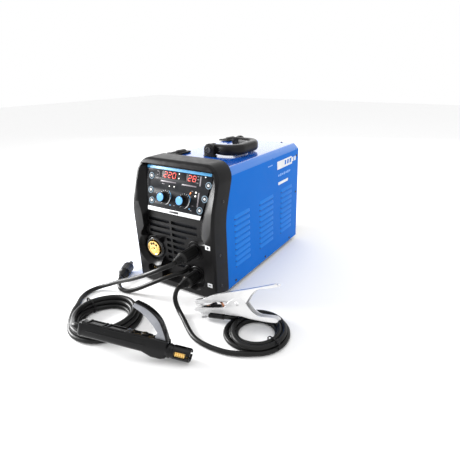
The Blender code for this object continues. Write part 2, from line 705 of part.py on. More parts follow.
def carry_handle(material):
    """A thick U-shaped grip between two hubs that turn on the brackets' pins."""
    corner = 0.030
    span, reach = HANDLE_HALF_SPAN, HANDLE_REACH
    near = arc((reach - corner, HANDLE_Y - span + corner), corner, -90, 0, 7)
    far = arc((reach - corner, HANDLE_Y + span - corner), corner, 0, 90, 7)
    start = HUB_RADIUS + 0.0015
    path = [(start, HANDLE_Y - span), *near, *far, (start, HANDLE_Y + span)]
    grip = tube("carry_handle", [(x, y, HANDLE_AXIS_Z) for x, y in path], HANDLE_RADIUS, 3)
    hubs, bores = [], []
    low, high = HANDLE_AXIS_Z - 0.0095, HANDLE_AXIS_Z + 0.0095
    for side in (-1, 1):
        y = HANDLE_Y + side * HANDLE_HALF_SPAN
        hubs.append(box("neck", (0, y - 0.0080, low), (start + 0.006, y + 0.0080, high)))
        ends = [(0, y - 0.0082, HANDLE_AXIS_Z), (0, y + 0.0082, HANDLE_AXIS_Z)]
        hubs.append(rod("hub", *ends, HUB_RADIUS - 0.0004, 24))
        bores.append(rod("bore", (0, y - 0.02, HANDLE_AXIS_Z), (0, y + 0.02, HANDLE_AXIS_Z), 0.0043, 16))
    paint(settle(cut(join(grip, hubs), bores), (0, HANDLE_Y, HANDLE_AXIS_Z)), material, smooth=True)


# ---------------------------------------------------------------- wire feeder and spool

def centre_divider(material):
    low, high = CASE_BOTTOM + 0.0022, CASE_TOP - SHEET - 0.0008
    front, rear = JOINT + 0.012, CASE_END - 0.040
    outline = [(front, low), (rear, low), (rear, high), (front + 0.045, high), (front, LEAN_START)]
    plate = prism("centre_divider", outline, 0.002, side_view(DIVIDER_X))
    foot_flange = box("flange", (DIVIDER_X - 0.001, JOINT + 0.012, low),
                      (DIVIDER_X + 0.012, CASE_END - 0.040, low + 0.0015))
    ends = [(DIVIDER_X - 0.01, FEED_Y, DRIVE_Z), (DIVIDER_X + 0.01, FEED_Y, DRIVE_Z)]
    motor_hole = rod("hole", *ends, 0.0270, 28)
    paint(cut(join(plate, [foot_flange]), [motor_hole]), material)


DRIVE_Z = EURO_Z - ROLL_RADIUS - WIRE_DIAMETER / 2
PRESSURE_Z = EURO_Z + ROLL_RADIUS + WIRE_DIAMETER / 2
ARM_PIVOT = (FEED_Y - 0.034, EURO_Z + 0.030)
ARM_X = -0.0655
PLATE_X = -0.0540


def feeder_plate(material):
    left, right, low, high = FEED_Y - 0.043, FEED_Y + 0.043, EURO_Z - 0.045, EURO_Z + 0.041
    outline = [(left, low), (right, low), (right, high - 0.018), (left + 0.052, high - 0.018),
               (left + 0.052, high), (left, high)]
    plate = prism("feeder_plate", outline, 0.012, side_view(PLATE_X))
    places = ((left + 0.007, low + 0.007), (right - 0.007, low + 0.007), (left + 0.007, high - 0.007),
              (right - 0.007, high - 0.026))
    posts = [rod("post", (PLATE_X, y, z), (DIVIDER_X - 0.001 - GAP, y, z), 0.005, 12) for y, z in places]
    ends = [(EURO_X, JOINT + 0.004, EURO_Z), (EURO_X, FEED_Y - ROLL_RADIUS - 0.001, EURO_Z)]
    guide = rod("guide", *ends, 0.0040, 12)
    bracket = box("bracket", (EURO_X - 0.004, FEED_Y - 0.040, EURO_Z - 0.006),
                  (PLATE_X, FEED_Y - 0.028, EURO_Z + 0.006))
    shaft_hole = rod("hole", (PLATE_X - 0.02, FEED_Y, DRIVE_Z), (PLATE_X + 0.02, FEED_Y, DRIVE_Z), 0.0060, 16)
    pivot_hole = rod("hole", (PLATE_X - 0.02, *ARM_PIVOT), (PLATE_X + 0.02, *ARM_PIVOT), 0.0043, 16)
    plate = join(plate, [*posts, bracket, guide])
    paint(cut(plate, [shaft_hole, pivot_hole]), material)


def feed_motor(material):
    start, end = PLATE_X + 0.006 + GAP, PLATE_X + 0.074
    body = rod("feed_motor", (start, FEED_Y, DRIVE_Z), (end, FEED_Y, DRIVE_Z), 0.0250, 28)
    cap = rod("cap", (end - 0.001, FEED_Y, DRIVE_Z), (end + 0.006, FEED_Y, DRIVE_Z), 0.0120, 20)
    paint(join(body, [cap]), material, smooth=True)


def drive_roll(material):
    half, edge = 0.005, ROLL_RADIUS
    end = EURO_X - PLATE_X - 0.0055
    profile = [(0, half + 0.003), (0.0080, half + 0.003), (0.0080, half), (edge, half), (edge, 0.0006),
               (edge - 0.0004, 0), (edge, -0.0006), (edge, -half), (0.0055, -half), (0.0055, end), (0, end)]
    paint(turned("drive_roll", profile, left_axis(EURO_X, FEED_Y, DRIVE_Z), 28), material, smooth=True)


def pressure_roll(material):
    half, edge, bore = 0.005, ROLL_RADIUS, 0.0048
    profile = [(edge, half), (edge, -half), (bore, -half), (bore, half)]
    paint(turned("pressure_roll", profile, left_axis(EURO_X, FEED_Y, PRESSURE_Z), 28), material, smooth=True)


def pressure_arm(material):
    y, z = ARM_PIVOT
    end_y = FEED_Y + 0.036
    outline = arc((y, z), 0.009, 120, 270, 7)
    outline += [(FEED_Y, PRESSURE_Z - 0.009), (end_y, PRESSURE_Z + 0.004),
                (end_y + 0.004, PRESSURE_Z + 0.014), (FEED_Y, PRESSURE_Z + 0.014)]
    arm = prism("pressure_arm", outline, 0.008, side_view(ARM_X))
    roll_pin = rod("pin", (ARM_X, FEED_Y, PRESSURE_Z), (EURO_X - 0.006, FEED_Y, PRESSURE_Z), 0.0045, 16)
    pivot_pin = rod("pin", (ARM_X, y, z), (PLATE_X + 0.004, y, z), 0.0040, 16)
    paint(settle(join(arm, [roll_pin, pivot_pin]), (ARM_X, y, z)), material)


def tension_knob(material):
    base = PRESSURE_Z + 0.014 + 0.0008
    profile = [(0, 0.030), (0.0085, 0.030), (0.0095, 0.026), (0.0095, 0.010), (0.0070, 0.0), (0, 0.0)]
    place = Matrix.Translation((ARM_X, FEED_Y + 0.026, base))
    paint(turned("tension_knob", profile, place, 20), material, smooth=True)


def spool_hub(material):
    start, end = DIVIDER_X - 0.001 - GAP, EURO_X - 0.018
    length = start - end
    profile = [(0, length), (0.0200, length), (0.0245, length - 0.006), (0.0245, 0.006), (0.0300, 0.006),
               (0.0300, 0.0), (0, 0.0)]
    paint(turned("spool_hub", profile, left_axis(start, SPOOL_Y, SPOOL_Z), 28), material, smooth=True)


def wire_spool(material):
    half, flange, barrel, bore = SPOOL_WIDTH / 2, 0.0030, 0.078, 0.0250
    rim = SPOOL_RADIUS
    profile = [(rim, half), (rim, half - flange), (barrel, half - flange), (barrel, flange - half), (rim, flange - half),
               (rim, -half), (bore, -half), (bore, half)]
    x = DIVIDER_X - 0.008 - half
    paint(turned("wire_spool", profile, left_axis(x, SPOOL_Y, SPOOL_Z), 40), material, smooth=True)


# ---------------------------------------------------------------- power section

def inverter_board(material):
    board = box("inverter_board", (0.000, -0.130, 0.120), (0.115, 0.150, 0.1216))
    parts = [box("transformer", (0.020, -0.040, 0.121), (0.072, 0.015, 0.166)),
             box("choke", (0.030, 0.060, 0.121), (0.090, 0.110, 0.158)),
             box("controller", (0.010, -0.115, 0.121), (0.080, -0.070, 0.132))]
    for y in (-0.10, -0.065, -0.03):
        parts.append(rod("capacitor", (0.095, y, 0.1212), (0.095, y, 0.160), 0.0125, 16))
    paint(join(board, parts), material)


def heat_sink(material):
    block = box("heat_sink", (0.030, -0.110, 0.040), (0.100, 0.120, 0.100))
    channels = [box("channel", (0.0325 + 0.0095 * i, -0.2, 0.046), (0.0400 + 0.0095 * i, 0.2, 0.12))
                for i in range(7)]
    paint(cut(block, channels), material)


def fan(frame_material, rotor_material):
    half, bore = FAN_SIZE / 2, 0.0560
    rear = CASE_END - 0.0068
    middle = rear - FAN_DEPTH / 2
    low, high = (FAN_X - half, rear - FAN_DEPTH, FAN_Z - half), (FAN_X + half, rear, FAN_Z + half)
    frame = box("fan_frame", low, high)
    frame = cut(frame, [rod("bore", (FAN_X, rear - 0.05, FAN_Z), (FAN_X, rear + 0.05, FAN_Z), bore, 40)])
    inner = rear - FAN_DEPTH
    reach, width, outer = 0.058, 0.002, inner + 0.003
    struts = [box("strut", (FAN_X - reach, inner, FAN_Z - width), (FAN_X + reach, outer, FAN_Z + width)),
              box("strut", (FAN_X - width, inner, FAN_Z - reach), (FAN_X + width, outer, FAN_Z + reach)),
              rod("boss", (FAN_X, inner, FAN_Z), (FAN_X, inner + 0.0035, FAN_Z), 0.022, 24)]
    paint(join(frame, struts), frame_material)
    hub = rod("fan_rotor", (FAN_X, inner + 0.0040, FAN_Z), (FAN_X, rear - 0.002, FAN_Z), 0.0205, 24)
    blades = []
    for i in range(7):
        blade = box("blade", (0.018, -0.0085, -0.0008), (0.0535, 0.0085, 0.0008))
        spin = Matrix.Rotation(2 * math.pi * i / 7, 4, "Y")
        pitch = Matrix.Rotation(math.radians(38), 4, "X")
        blade.data.transform(Matrix.Translation((FAN_X, middle + 0.001, FAN_Z)) @ spin @ pitch)
        blades.append(blade)
    paint(settle(join(hub, blades), (FAN_X, middle, FAN_Z)), rotor_material)


def rear_fittings(brass, black):
    wall = CASE_END - 0.0045
    reach = REAR - wall
    barb = [(0.0022, reach), (0.0040, reach), (0.0052, reach - 0.005), (0.0040, reach - 0.0055),
            (0.0052, reach - 0.010),
            (0.0042, reach - 0.0105), (0.0042, 0.010), (0.0100, 0.010), (0.0100, 0.0003), (0.0065, 0.0003),
            (0.0065, -0.012), (0.0022, -0.012)]
    paint(turned("gas_inlet", barb, backward_axis(-0.070, wall, 0.060), 16), brass, smooth=True)
    gland = [(0.0068, reach), (0.0105, reach), (0.0120, reach - 0.006), (0.0120, 0.007), (0.0135, 0.006),
             (0.0135, 0.0003), (0.0088, 0.0003), (0.0088, -0.010), (0.0068, -0.010)]
    paint(turned("mains_gland", gland, backward_axis(0.030, wall, 0.050), 20), black, smooth=True)


def power_switch(housing_material, rocker_material):
    """A rocker in a framed housing, modelled in its off position."""
    wall = CASE_END - 0.0045
    x, z = -0.075, 0.260
    housing = box("switch_housing", (x - 0.0185, wall + GAP, z - 0.024), (x + 0.0185, wall + 0.004, z + 0.024))
    body = box("body", (x - 0.0150, wall - 0.022, z - 0.020), (x + 0.0150, wall + 0.001, z + 0.020))
    well = box("well", (x - 0.0118, wall - 0.016, z - 0.0160), (x + 0.0118, wall + 0.01, z + 0.0160))
    paint(cut(join(housing, [body]), [well]), housing_material)
    face = wall + 0.0062
    crank = math.radians(9)
    outline = [(-0.0145, 0.0012), (0.0, -0.0012), (0.0145, 0.0012), (0.0128, -0.0100), (-0.0128, -0.0100)]
    place = Matrix(((0, 0, 1, x), (0, 1, 0, face), (-1, 0, 0, z), (0, 0, 0, 1)))
    back = Matrix.Translation((-x, 0.002 - wall, -z))
    tilt = back.inverted() @ Matrix.Rotation(crank, 4, "X") @ back
    rocker = prism("switch_rocker", outline, 0.0226, tilt @ place)
    paint(settle(rocker, (x, wall - 0.002, z)), rocker_material)


# ---------------------------------------------------------------- leads and their tools

def coil(name, size, material):
    """The turns of a coiled lead as one ring with rounded edges."""
    inner, outer, height = size["inner"], size["outer"], size["height"]
    edge = 0.0040
    profile = [(outer - edge, height), (outer, height - edge), (outer, edge), (outer - edge, 0.0),
               (inner + edge, 0.0), (inner, edge), (inner, height - edge), (inner + edge, height)]
    paint(turned(name, profile, Matrix.Translation((size["x"], size["y"], 0.0)), 32), material, smooth=True)


def leads(material):
    routes = {"electrode_lead": ELECTRODE_ROUTE, "polarity_lead": POLARITY_ROUTE, "earth_lead": EARTH_ROUTE}
    for name, route in routes.items():
        paint(tube(name, smooth_route(route, TUBE_SPACING), CABLE / 2, 2), material, smooth=True)
    coil("electrode_coil", ELECTRODE_COIL, material)
    coil("earth_coil", EARTH_COIL, material)


def holder_body(material):
    """Handle and head of the electrode holder, with the slot that its lever works in."""
    frame = leaning_frame(*HOLDER_PLACE)
    outline = [(-0.004, -0.007), (0.003, -0.0125), (0.147, -0.0125), (0.157, -0.0145), (0.182, -0.0140),
               (0.185, -0.0080), (0.185, 0.0230), (0.167, 0.0240), (-0.001, 0.0225), (-0.004, 0.0160)]
    body = prism("holder_body", outline, 0.028, frame)
    edges = body.modifiers.new("edges", "BEVEL")
    edges.width = 0.004
    edges.segments = 1
    edges.limit_method = "ANGLE"
    edges.angle_limit = math.radians(60)
    body = evaluated(body)
    head_start, head_end = frame @ Vector((0.182, 0.003, 0)), frame @ Vector((0.233, 0.003, 0))
    head = rod("head", head_start, head_end, 0.0145, 20)
    body = join(body, [head])
    slot = prism("slot", [(0.153, 0.0040), (0.1905, 0.0040), (0.1905, 0.05), (0.153, 0.05)], 0.0166, frame)
    mouth = prism("mouth", rectangle(0.223, 0.003, 0.044, 0.004), 0.010, frame)
    cable_bore = rod("bore", frame @ Vector((-0.01, 0.003, 0)), frame @ Vector((0.030, 0.003, 0)), 0.0060, 12)
    paint(cut(body, [slot, mouth, cable_bore]), material)


def holder_lever(material):
    frame = leaning_frame(*HOLDER_PLACE)
    outer = [(0.104, 0.0860), (0.1275, 0.0805), (0.1475, 0.0705), (0.1625, 0.0575), (0.1745, 0.0390),
             (0.184, 0.0205)]
    inner = [(0.1845, 0.0090), (0.1735, 0.0075), (0.1705, 0.0300), (0.157, 0.0480), (0.1375, 0.0630),
             (0.1215, 0.0710), (0.100, 0.0760)]
    lever = prism("holder_lever", outer + inner, 0.0160, frame)
    paint(settle(lever, frame @ Vector((*HOLDER_PIVOT, 0))), material)


def clamp_arm(name, outline, spine, width, frame):
    """A U-shaped pressing: the outline's full width, hollowed out from its open side."""
    arm = prism(name, outline, width, frame)
    return cut(arm, [prism("hollow", spine, width - 2 * SHEET, frame)])


def earth_clamp(steel, copper):
    frame = leaning_frame(*CLAMP_PLACE) @ Matrix.Translation((0, 0, -CLAMP_WIDTH / 2))
    lower = [(-0.010, 0.0165), (0.014, 0.0135), (0.052, 0.0125), (0.078, 0.0085), (0.104, 0.0064), (0.131, 0.0),
             (0.183, -0.0057), (0.181, 0.0040), (0.147, 0.0075), (0.132, 0.0150), (0.1225, 0.0250), (0.113, 0.0380),
             (0.104, 0.0440), (0.086, 0.0440), (0.070, 0.0330), (0.058, 0.0250), (-0.010, 0.0225)]
    lower_hollow = [(u - 0.02, v + SHEET) for u, v in lower[:1]]
    lower_hollow += [(u, v + SHEET) for u, v in lower[:6]]
    lower_hollow += [(0.20, -0.0060 + SHEET), (0.20, 0.08), (-0.03, 0.08)]
    upper = [(-0.010, 0.0410), (-0.010, 0.0340), (0.020, 0.0340), (0.060, 0.0380), (0.072, 0.0330),
             (0.086, 0.0240), (0.104, 0.0240), (0.115, 0.0340), (0.131, 0.0555), (0.145, 0.0648),
             (0.160, 0.0666), (0.190, 0.0705), (0.191, 0.0745), (0.181, 0.0755), (0.135, 0.0675),
             (0.075, 0.0583), (0.027, 0.0496), (0.0076, 0.0420)]
    upper_hollow = [(u, v - SHEET) for u, v in ((-0.03, 0.0410), (0.0076, 0.0420), (0.027, 0.0496),
                                                (0.075, 0.0583), (0.135, 0.0675), (0.181, 0.0755), (0.21, 0.0800))]
    upper_hollow += [(0.21, 0.0), (-0.03, 0.0)]
    low_arm = clamp_arm("clamp_lower_arm", lower, lower_hollow, CLAMP_WIDTH, frame)
    pivot = Vector((*CLAMP_PIVOT, 0))
    half = CLAMP_WIDTH / 2
    ends = [frame @ (pivot + Vector((0, 0, side * (half + 0.0012)))) for side in (-1, 1)]
    rivet = rod("rivet", *ends, 0.0030, 14)
    paint(join(low_arm, [rivet]), steel)
    high_arm = clamp_arm("clamp_upper_arm", upper, upper_hollow, CLAMP_WIDTH - 2 * SHEET - 2 * GAP, frame)
    ends = [frame @ (pivot + Vector((0, 0, side * 0.03))) for side in (-1, 1)]
    bore = rod("bore", *ends, 0.0034, 14)
    paint(settle(cut(high_arm, [bore]), frame @ pivot), steel)
    ends = [frame @ Vector((0.018, 0.0045, 0)), frame @ Vector((0.056, 0.0015, 0))]
    barrel = rod("earth_lug", *ends, 0.0062, 16)
    tongue = box("tongue", (-0.001, 0.0085, -0.006), (0.022, 0.0110, 0.006))
    tongue.data.transform(frame)
    bolt = rod("bolt", frame @ Vector((0.007, -0.0015, 0)), frame @ Vector((0.007, 0.0125, 0)), 0.0065, 6)
    paint(join(barrel, [tongue, bolt]), copper)


# ---------------------------------------------------------------- assembly

def build():
    clear_scene()
    blue = finish("blue_paint", (0.016, 0.155, 0.68), 0.35)
    black_plastic = finish("black_plastic", (0.022, 0.022, 0.024), 0.45)
    panel_film = finish("panel_film", (0.012, 0.014, 0.018), 0.35)
    rubber = finish("rubber", (0.018, 0.018, 0.018), 0.75)
    steel = finish("zinc_steel", (0.70, 0.71, 0.72), 0.30, 1.0)
    brass = finish("brass", (0.80, 0.55, 0.22), 0.28, 1.0)
    copper = finish("copper", (0.80, 0.42, 0.26), 0.32, 1.0)
    aluminium = finish("aluminium", (0.72, 0.73, 0.75), 0.40, 1.0)
    black_metal = finish("black_metal", (0.03, 0.03, 0.032), 0.50)
    board_green = finish("board", (0.02, 0.16, 0.07), 0.50)
    grey_button = finish("button_grey", (0.30, 0.36, 0.42), 0.45)
    spool_plastic = finish("spool_plastic", (0.05, 0.05, 0.055), 0.50)
    wire_copper = finish("wire_pack", (0.75, 0.40, 0.24), 0.35, 1.0)

    front_bezel(black_plastic)
    control_panel(panel_film)
    display_module(board_green)
    for name, place in KNOB_PLACES.items():
        knob(name, place, black_plastic)
    for name, place in BUTTON_PLACES.items():
        button(name, place, grey_button)
    euro_connector(black_plastic, brass)
    power_socket("socket_positive", POSITIVE_Z, brass)
    power_socket("socket_negative", NEGATIVE_Z, brass)
    polarity_gland(black_plastic)

    base_pan(black_metal)
    cover_shell(blue)
    rear_panel(black_metal)
    feeder_door(blue)
    door_latch(black_plastic)
    for name, y in HINGE_PLACES.items():
        door_hinge(name, y, black_plastic)
    for side, across in (("left", -0.095), ("right", 0.095)):
        for end, along in (("front", JOINT + 0.035), ("rear", CASE_END - 0.050)):
            foot(f"foot_{end}_{side}", across, along, rubber)

    handle_bracket("handle_bracket_front", -1, black_plastic)
    handle_bracket("handle_bracket_rear", 1, black_plastic)
    carry_handle(black_plastic)

    centre_divider(aluminium)
    feeder_plate(aluminium)
    feed_motor(black_metal)
    drive_roll(steel)
    pressure_arm(black_plastic)
    pressure_roll(steel)
    tension_knob(black_plastic)
    spool_hub(black_plastic)
    wire_spool(wire_copper)
    inverter_board(board_green)
    heat_sink(aluminium)
    fan(black_plastic, spool_plastic)
    rear_fittings(brass, black_plastic)
    power_switch(black_plastic, black_plastic)

    plugs(rubber)
    leads(rubber)
    holder_body(black_plastic)
    holder_lever(black_plastic)
    earth_clamp(steel, copper)


build()
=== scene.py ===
"""Looks of the portable wire-feed welder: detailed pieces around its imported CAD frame, studio and camera."""
import json
import math

import bmesh
import bpy
from mathutils import Matrix, Vector


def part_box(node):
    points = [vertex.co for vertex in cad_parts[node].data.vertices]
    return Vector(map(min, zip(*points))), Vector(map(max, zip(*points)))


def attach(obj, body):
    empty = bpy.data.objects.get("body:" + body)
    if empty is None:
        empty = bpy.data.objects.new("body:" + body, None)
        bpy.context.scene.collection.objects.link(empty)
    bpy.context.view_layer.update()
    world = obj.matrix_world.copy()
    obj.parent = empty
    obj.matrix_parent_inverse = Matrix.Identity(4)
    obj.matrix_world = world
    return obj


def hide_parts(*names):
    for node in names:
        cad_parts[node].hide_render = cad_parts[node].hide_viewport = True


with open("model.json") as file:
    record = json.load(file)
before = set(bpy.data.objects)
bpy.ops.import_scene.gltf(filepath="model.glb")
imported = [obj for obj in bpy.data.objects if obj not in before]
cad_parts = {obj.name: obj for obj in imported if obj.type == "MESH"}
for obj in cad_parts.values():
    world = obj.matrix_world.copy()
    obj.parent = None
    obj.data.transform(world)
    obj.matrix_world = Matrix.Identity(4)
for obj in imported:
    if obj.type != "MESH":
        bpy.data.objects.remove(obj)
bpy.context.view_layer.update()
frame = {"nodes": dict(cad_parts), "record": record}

# Places read from the frame
GAP = 0.0003
CASE_LOW, CASE_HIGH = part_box("cover_shell")
BEZEL_LOW, BEZEL_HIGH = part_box("front_bezel")
HALF_WIDTH = CASE_HIGH.x
BEZEL_HALF = BEZEL_HIGH.x
FRONT = BEZEL_LOW.y
JOINT = CASE_LOW.y - GAP
CASE_END = CASE_HIGH.y
CASE_TOP = CASE_HIGH.z
CASE_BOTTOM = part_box("base_pan")[0].z
CHAMFER = 0.016

# The front's lean, as in the frame
LEAN = math.radians(18.5)
LEAN_START, LEAN_FULL, FRONT_LAG = 0.175, 0.235, 0.012
BEZEL_DEPTH = JOINT - FRONT
RECESS, WEB, LIP = 0.017, 0.004, 0.003

# Places on the front, as in the frame
PANEL_FOOT_Z, PANEL_LENGTH, PANEL_THICKNESS = 0.207, 0.117, 0.003
PANEL_TOP_HALF, PANEL_BOTTOM_HALF = 0.1045, 0.0825
EURO_X, EURO_Z = -0.076, 0.101
SOCKET_X, POSITIVE_Z, NEGATIVE_Z, PILL_RADIUS = 0.058, 0.1225, 0.0535, 0.034
GLAND_X, GLAND_Z = 0.030, 0.064
HANDLE_Y, HANDLE_HALF_SPAN, HANDLE_AXIS_Z = 0.0047, 0.0595, 0.3385
KNOB_PLACES = {"current_knob": (-0.033, 0.0376), "voltage_knob": (0.027, 0.0376)}
BUTTON_PLACES = {
    "button_left_top": (-0.083, 0.0855), "button_left_middle": (-0.080, 0.0506),
    "button_left_bottom": (-0.073, 0.0250), "button_right_top": (0.0945, 0.0833),
    "button_right_middle": (0.0884, 0.0510), "button_right_bottom": (0.0786, 0.0225),
}
DISPLAY_S, DISPLAY_HEIGHT = 0.0938, 0.017
DISPLAYS = {"left": (-0.0265, 0.050), "right": (0.0435, 0.036)}

# Leads, repeated from the part's source
CABLE = 0.011
ELECTRODE_COIL = {"x": -0.052, "y": -0.4258, "inner": 0.048, "outer": 0.081, "height": 0.031}
EARTH_COIL = {"x": 0.273, "y": -0.2968, "inner": 0.0385, "outer": 0.0735, "height": 0.0225}
ELECTRODE_ROUTE = [
    (0.058, -0.3013, 0.1225), (0.058, -0.3083, 0.1225), (0.052, -0.3200, 0.1205), (0.036, -0.3310, 0.1130),
    (0.008, -0.3360, 0.0980), (-0.026, -0.3350, 0.0800), (-0.066, -0.3325, 0.0600),
    (-0.109, -0.3290, 0.0400), (-0.150, -0.3300, 0.0205), (-0.180, -0.3420, 0.0085),
    (-0.1895, -0.3660, 0.0058), (-0.181, -0.3930, 0.0058), (-0.162, -0.4190, 0.0058),
    (-0.1480, -0.4400, 0.0058),
]
POLARITY_ROUTE = [
    (0.030, -0.2326, 0.0640), (0.030, -0.2396, 0.0640), (0.0270, -0.2510, 0.0638), (0.0170, -0.2650, 0.0620),
    (0.0000, -0.2800, 0.0560), (-0.0251, -0.2915, 0.0434), (-0.0541, -0.3000, 0.0275),
    (-0.0825, -0.3085, 0.0130), (-0.1060, -0.3160, 0.0058), (-0.1290, -0.3150, 0.0062),
    (-0.1470, -0.3040, 0.0105), (-0.1563, -0.2911, 0.0155), (-0.1600, -0.2844, 0.0155),
]
EARTH_ROUTE = [
    (0.058, -0.2913, 0.0535), (0.058, -0.2983, 0.0535), (0.0590, -0.3080, 0.0490), (0.0605, -0.3145, 0.0360),
    (0.0640, -0.3165, 0.0220), (0.0765, -0.3220, 0.0100), (0.0945, -0.3320, 0.0058),
    (0.1325, -0.3581, 0.0058), (0.1597, -0.3743, 0.0058), (0.1850, -0.3824, 0.0058),
    (0.2128, -0.3848, 0.0058), (0.2370, -0.3833, 0.0058), (0.2600, -0.3785, 0.0058),
]
HOLDER_PLACE = ((-0.0144, -0.5095, 0.0463), 19.4, -8.5, 20.0)
CLAMP_PLACE = ((0.1365, -0.3213, 0.0105), 12.0, 10.2, 20.0)
CLAMP_WIDTH = 0.024
PLUG_RADIUS = 0.0155
FREE_PLUG_HEADING, FREE_PLUG_LENGTH = math.radians(119.0), 0.062


# ---------------------------------------------------------------- frames of reference

def bow(z):
    """How far the front has leaned back at height z."""
    radius = (LEAN_FULL - LEAN_START) / math.sin(LEAN)
    if z <= LEAN_START:
        return 0.0
    if z < LEAN_FULL:
        return radius - math.sqrt(radius ** 2 - (z - LEAN_START) ** 2)
    return radius * (1 - math.cos(LEAN)) + (z - LEAN_FULL) * math.tan(LEAN)


def leaning_frame(origin, heading, rise, lean):
    """Axes of a hand tool laid down: local X along it, local Y up and leaning back."""
    heading, rise, lean = (math.radians(angle) for angle in (heading, rise, lean))
    along = Vector((math.cos(rise) * math.cos(heading), math.cos(rise) * math.sin(heading), math.sin(rise)))
    up = (Vector((0, 0, 1)) - along.z * along).normalized()
    back = up.cross(along)
    up = math.cos(lean) * up + math.sin(lean) * back
    out = along.cross(up)
    place = Matrix((along, up, out)).transposed().to_4x4()
    place.translation = origin
    return place


HOLDER = leaning_frame(*HOLDER_PLACE)
CLAMP = leaning_frame(*CLAMP_PLACE) @ Matrix.Translation((0, 0, -CLAMP_WIDTH / 2))


# ---------------------------------------------------------------- materials

def material(name, colour, roughness, metallic=0.0, **sockets):
    """A Principled material, returned with its node tree for the detail that follows."""
    result = bpy.data.materials.new(name)
    result.use_nodes = True
    shader = result.node_tree.nodes["Principled BSDF"]
    shader.inputs["Base Color"].default_value = (*colour, 1.0)
    shader.inputs["Roughness"].default_value = roughness
    shader.inputs["Metallic"].default_value = metallic
    for socket, value in sockets.items():
        shader.inputs[socket.replace("_", " ")].default_value = value
    return result


def noise(tree, scale, detail=3.0, stretch=(1, 1, 1)):
    """Object-space noise, optionally stretched along an axis."""
    place = tree.nodes.new("ShaderNodeTexCoord")
    mapping = tree.nodes.new("ShaderNodeMapping")
    mapping.inputs["Scale"].default_value = stretch
    result = tree.nodes.new("ShaderNodeTexNoise")
    result.inputs["Scale"].default_value = scale
    result.inputs["Detail"].default_value = detail
    tree.links.new(place.outputs["Object"], mapping.inputs["Vector"])
    tree.links.new(mapping.outputs["Vector"], result.inputs["Vector"])
    return result


def vary_colour(result, texture, low, high, start=0.35, end=0.65):
    tree = result.node_tree
    ramp = tree.nodes.new("ShaderNodeValToRGB")
    ramp.color_ramp.elements[0].position = start
    ramp.color_ramp.elements[0].color = (*low, 1.0)
    ramp.color_ramp.elements[1].position = end
    ramp.color_ramp.elements[1].color = (*high, 1.0)
    tree.links.new(texture.outputs["Fac"], ramp.inputs["Fac"])
    tree.links.new(ramp.outputs["Color"], tree.nodes["Principled BSDF"].inputs["Base Color"])


def vary_roughness(result, texture, low, high):
    tree = result.node_tree
    spread = tree.nodes.new("ShaderNodeMapRange")
    spread.inputs["From Min"].default_value = 0.3
    spread.inputs["From Max"].default_value = 0.7
    spread.inputs["To Min"].default_value = low
    spread.inputs["To Max"].default_value = high
    tree.links.new(texture.outputs["Fac"], spread.inputs["Value"])
    tree.links.new(spread.outputs["Result"], tree.nodes["Principled BSDF"].inputs["Roughness"])


def roughen(result, texture, strength, distance):
    """Bump from a texture."""
    tree = result.node_tree
    bump = tree.nodes.new("ShaderNodeBump")
    bump.inputs["Strength"].default_value = strength
    bump.inputs["Distance"].default_value = distance
    tree.links.new(texture.outputs["Fac"], bump.inputs["Height"])
    tree.links.new(bump.outputs["Normal"], tree.nodes["Principled BSDF"].inputs["Normal"])


def powder_coat(name, colour, shade, roughness, coat=0.9, peel=0.05):
    """Paint with a clear gloss and a slight orange peel."""
    result = material(name, colour, roughness, Coat_Weight=coat, Coat_Roughness=0.04)
    tree = result.node_tree
    vary_colour(result, noise(tree, 6), shade, colour)
    vary_roughness(result, noise(tree, 25), roughness - 0.04, roughness + 0.06)
    roughen(result, noise(tree, 420, 1), peel, 0.0002)
    return result


def moulded(name, colour, shade, roughness, grain=1600, strength=0.12):
    """Plastic with the fine spark-eroded grain of a mould."""
    result = material(name, colour, roughness)
    tree = result.node_tree
    vary_colour(result, noise(tree, 40), shade, colour)
    vary_roughness(result, noise(tree, 60), roughness - 0.05, roughness + 0.07)
    roughen(result, noise(tree, grain, 2), strength, 0.0001)
    return result


def metal(name, colour, shade, roughness, stretch=(1, 1, 1), grain=300):
    """Bare or plated metal with fine drawn lines and clouding."""
    result = material(name, colour, roughness, 1.0)
    tree = result.node_tree
    vary_colour(result, noise(tree, 30), shade, colour)
    vary_roughness(result, noise(tree, grain, 3, stretch), roughness - 0.05, roughness + 0.08)
    roughen(result, noise(tree, grain * 2, 2, stretch), 0.04, 0.0001)
    return result


def glowing(name, colour, strength):
    """A lamp or a lit display segment."""
    result = material(name, colour, 0.4, Emission_Color=(*colour, 1.0), Emission_Strength=strength)
    vary_roughness(result, noise(result.node_tree, 300), 0.35, 0.5)
    return result


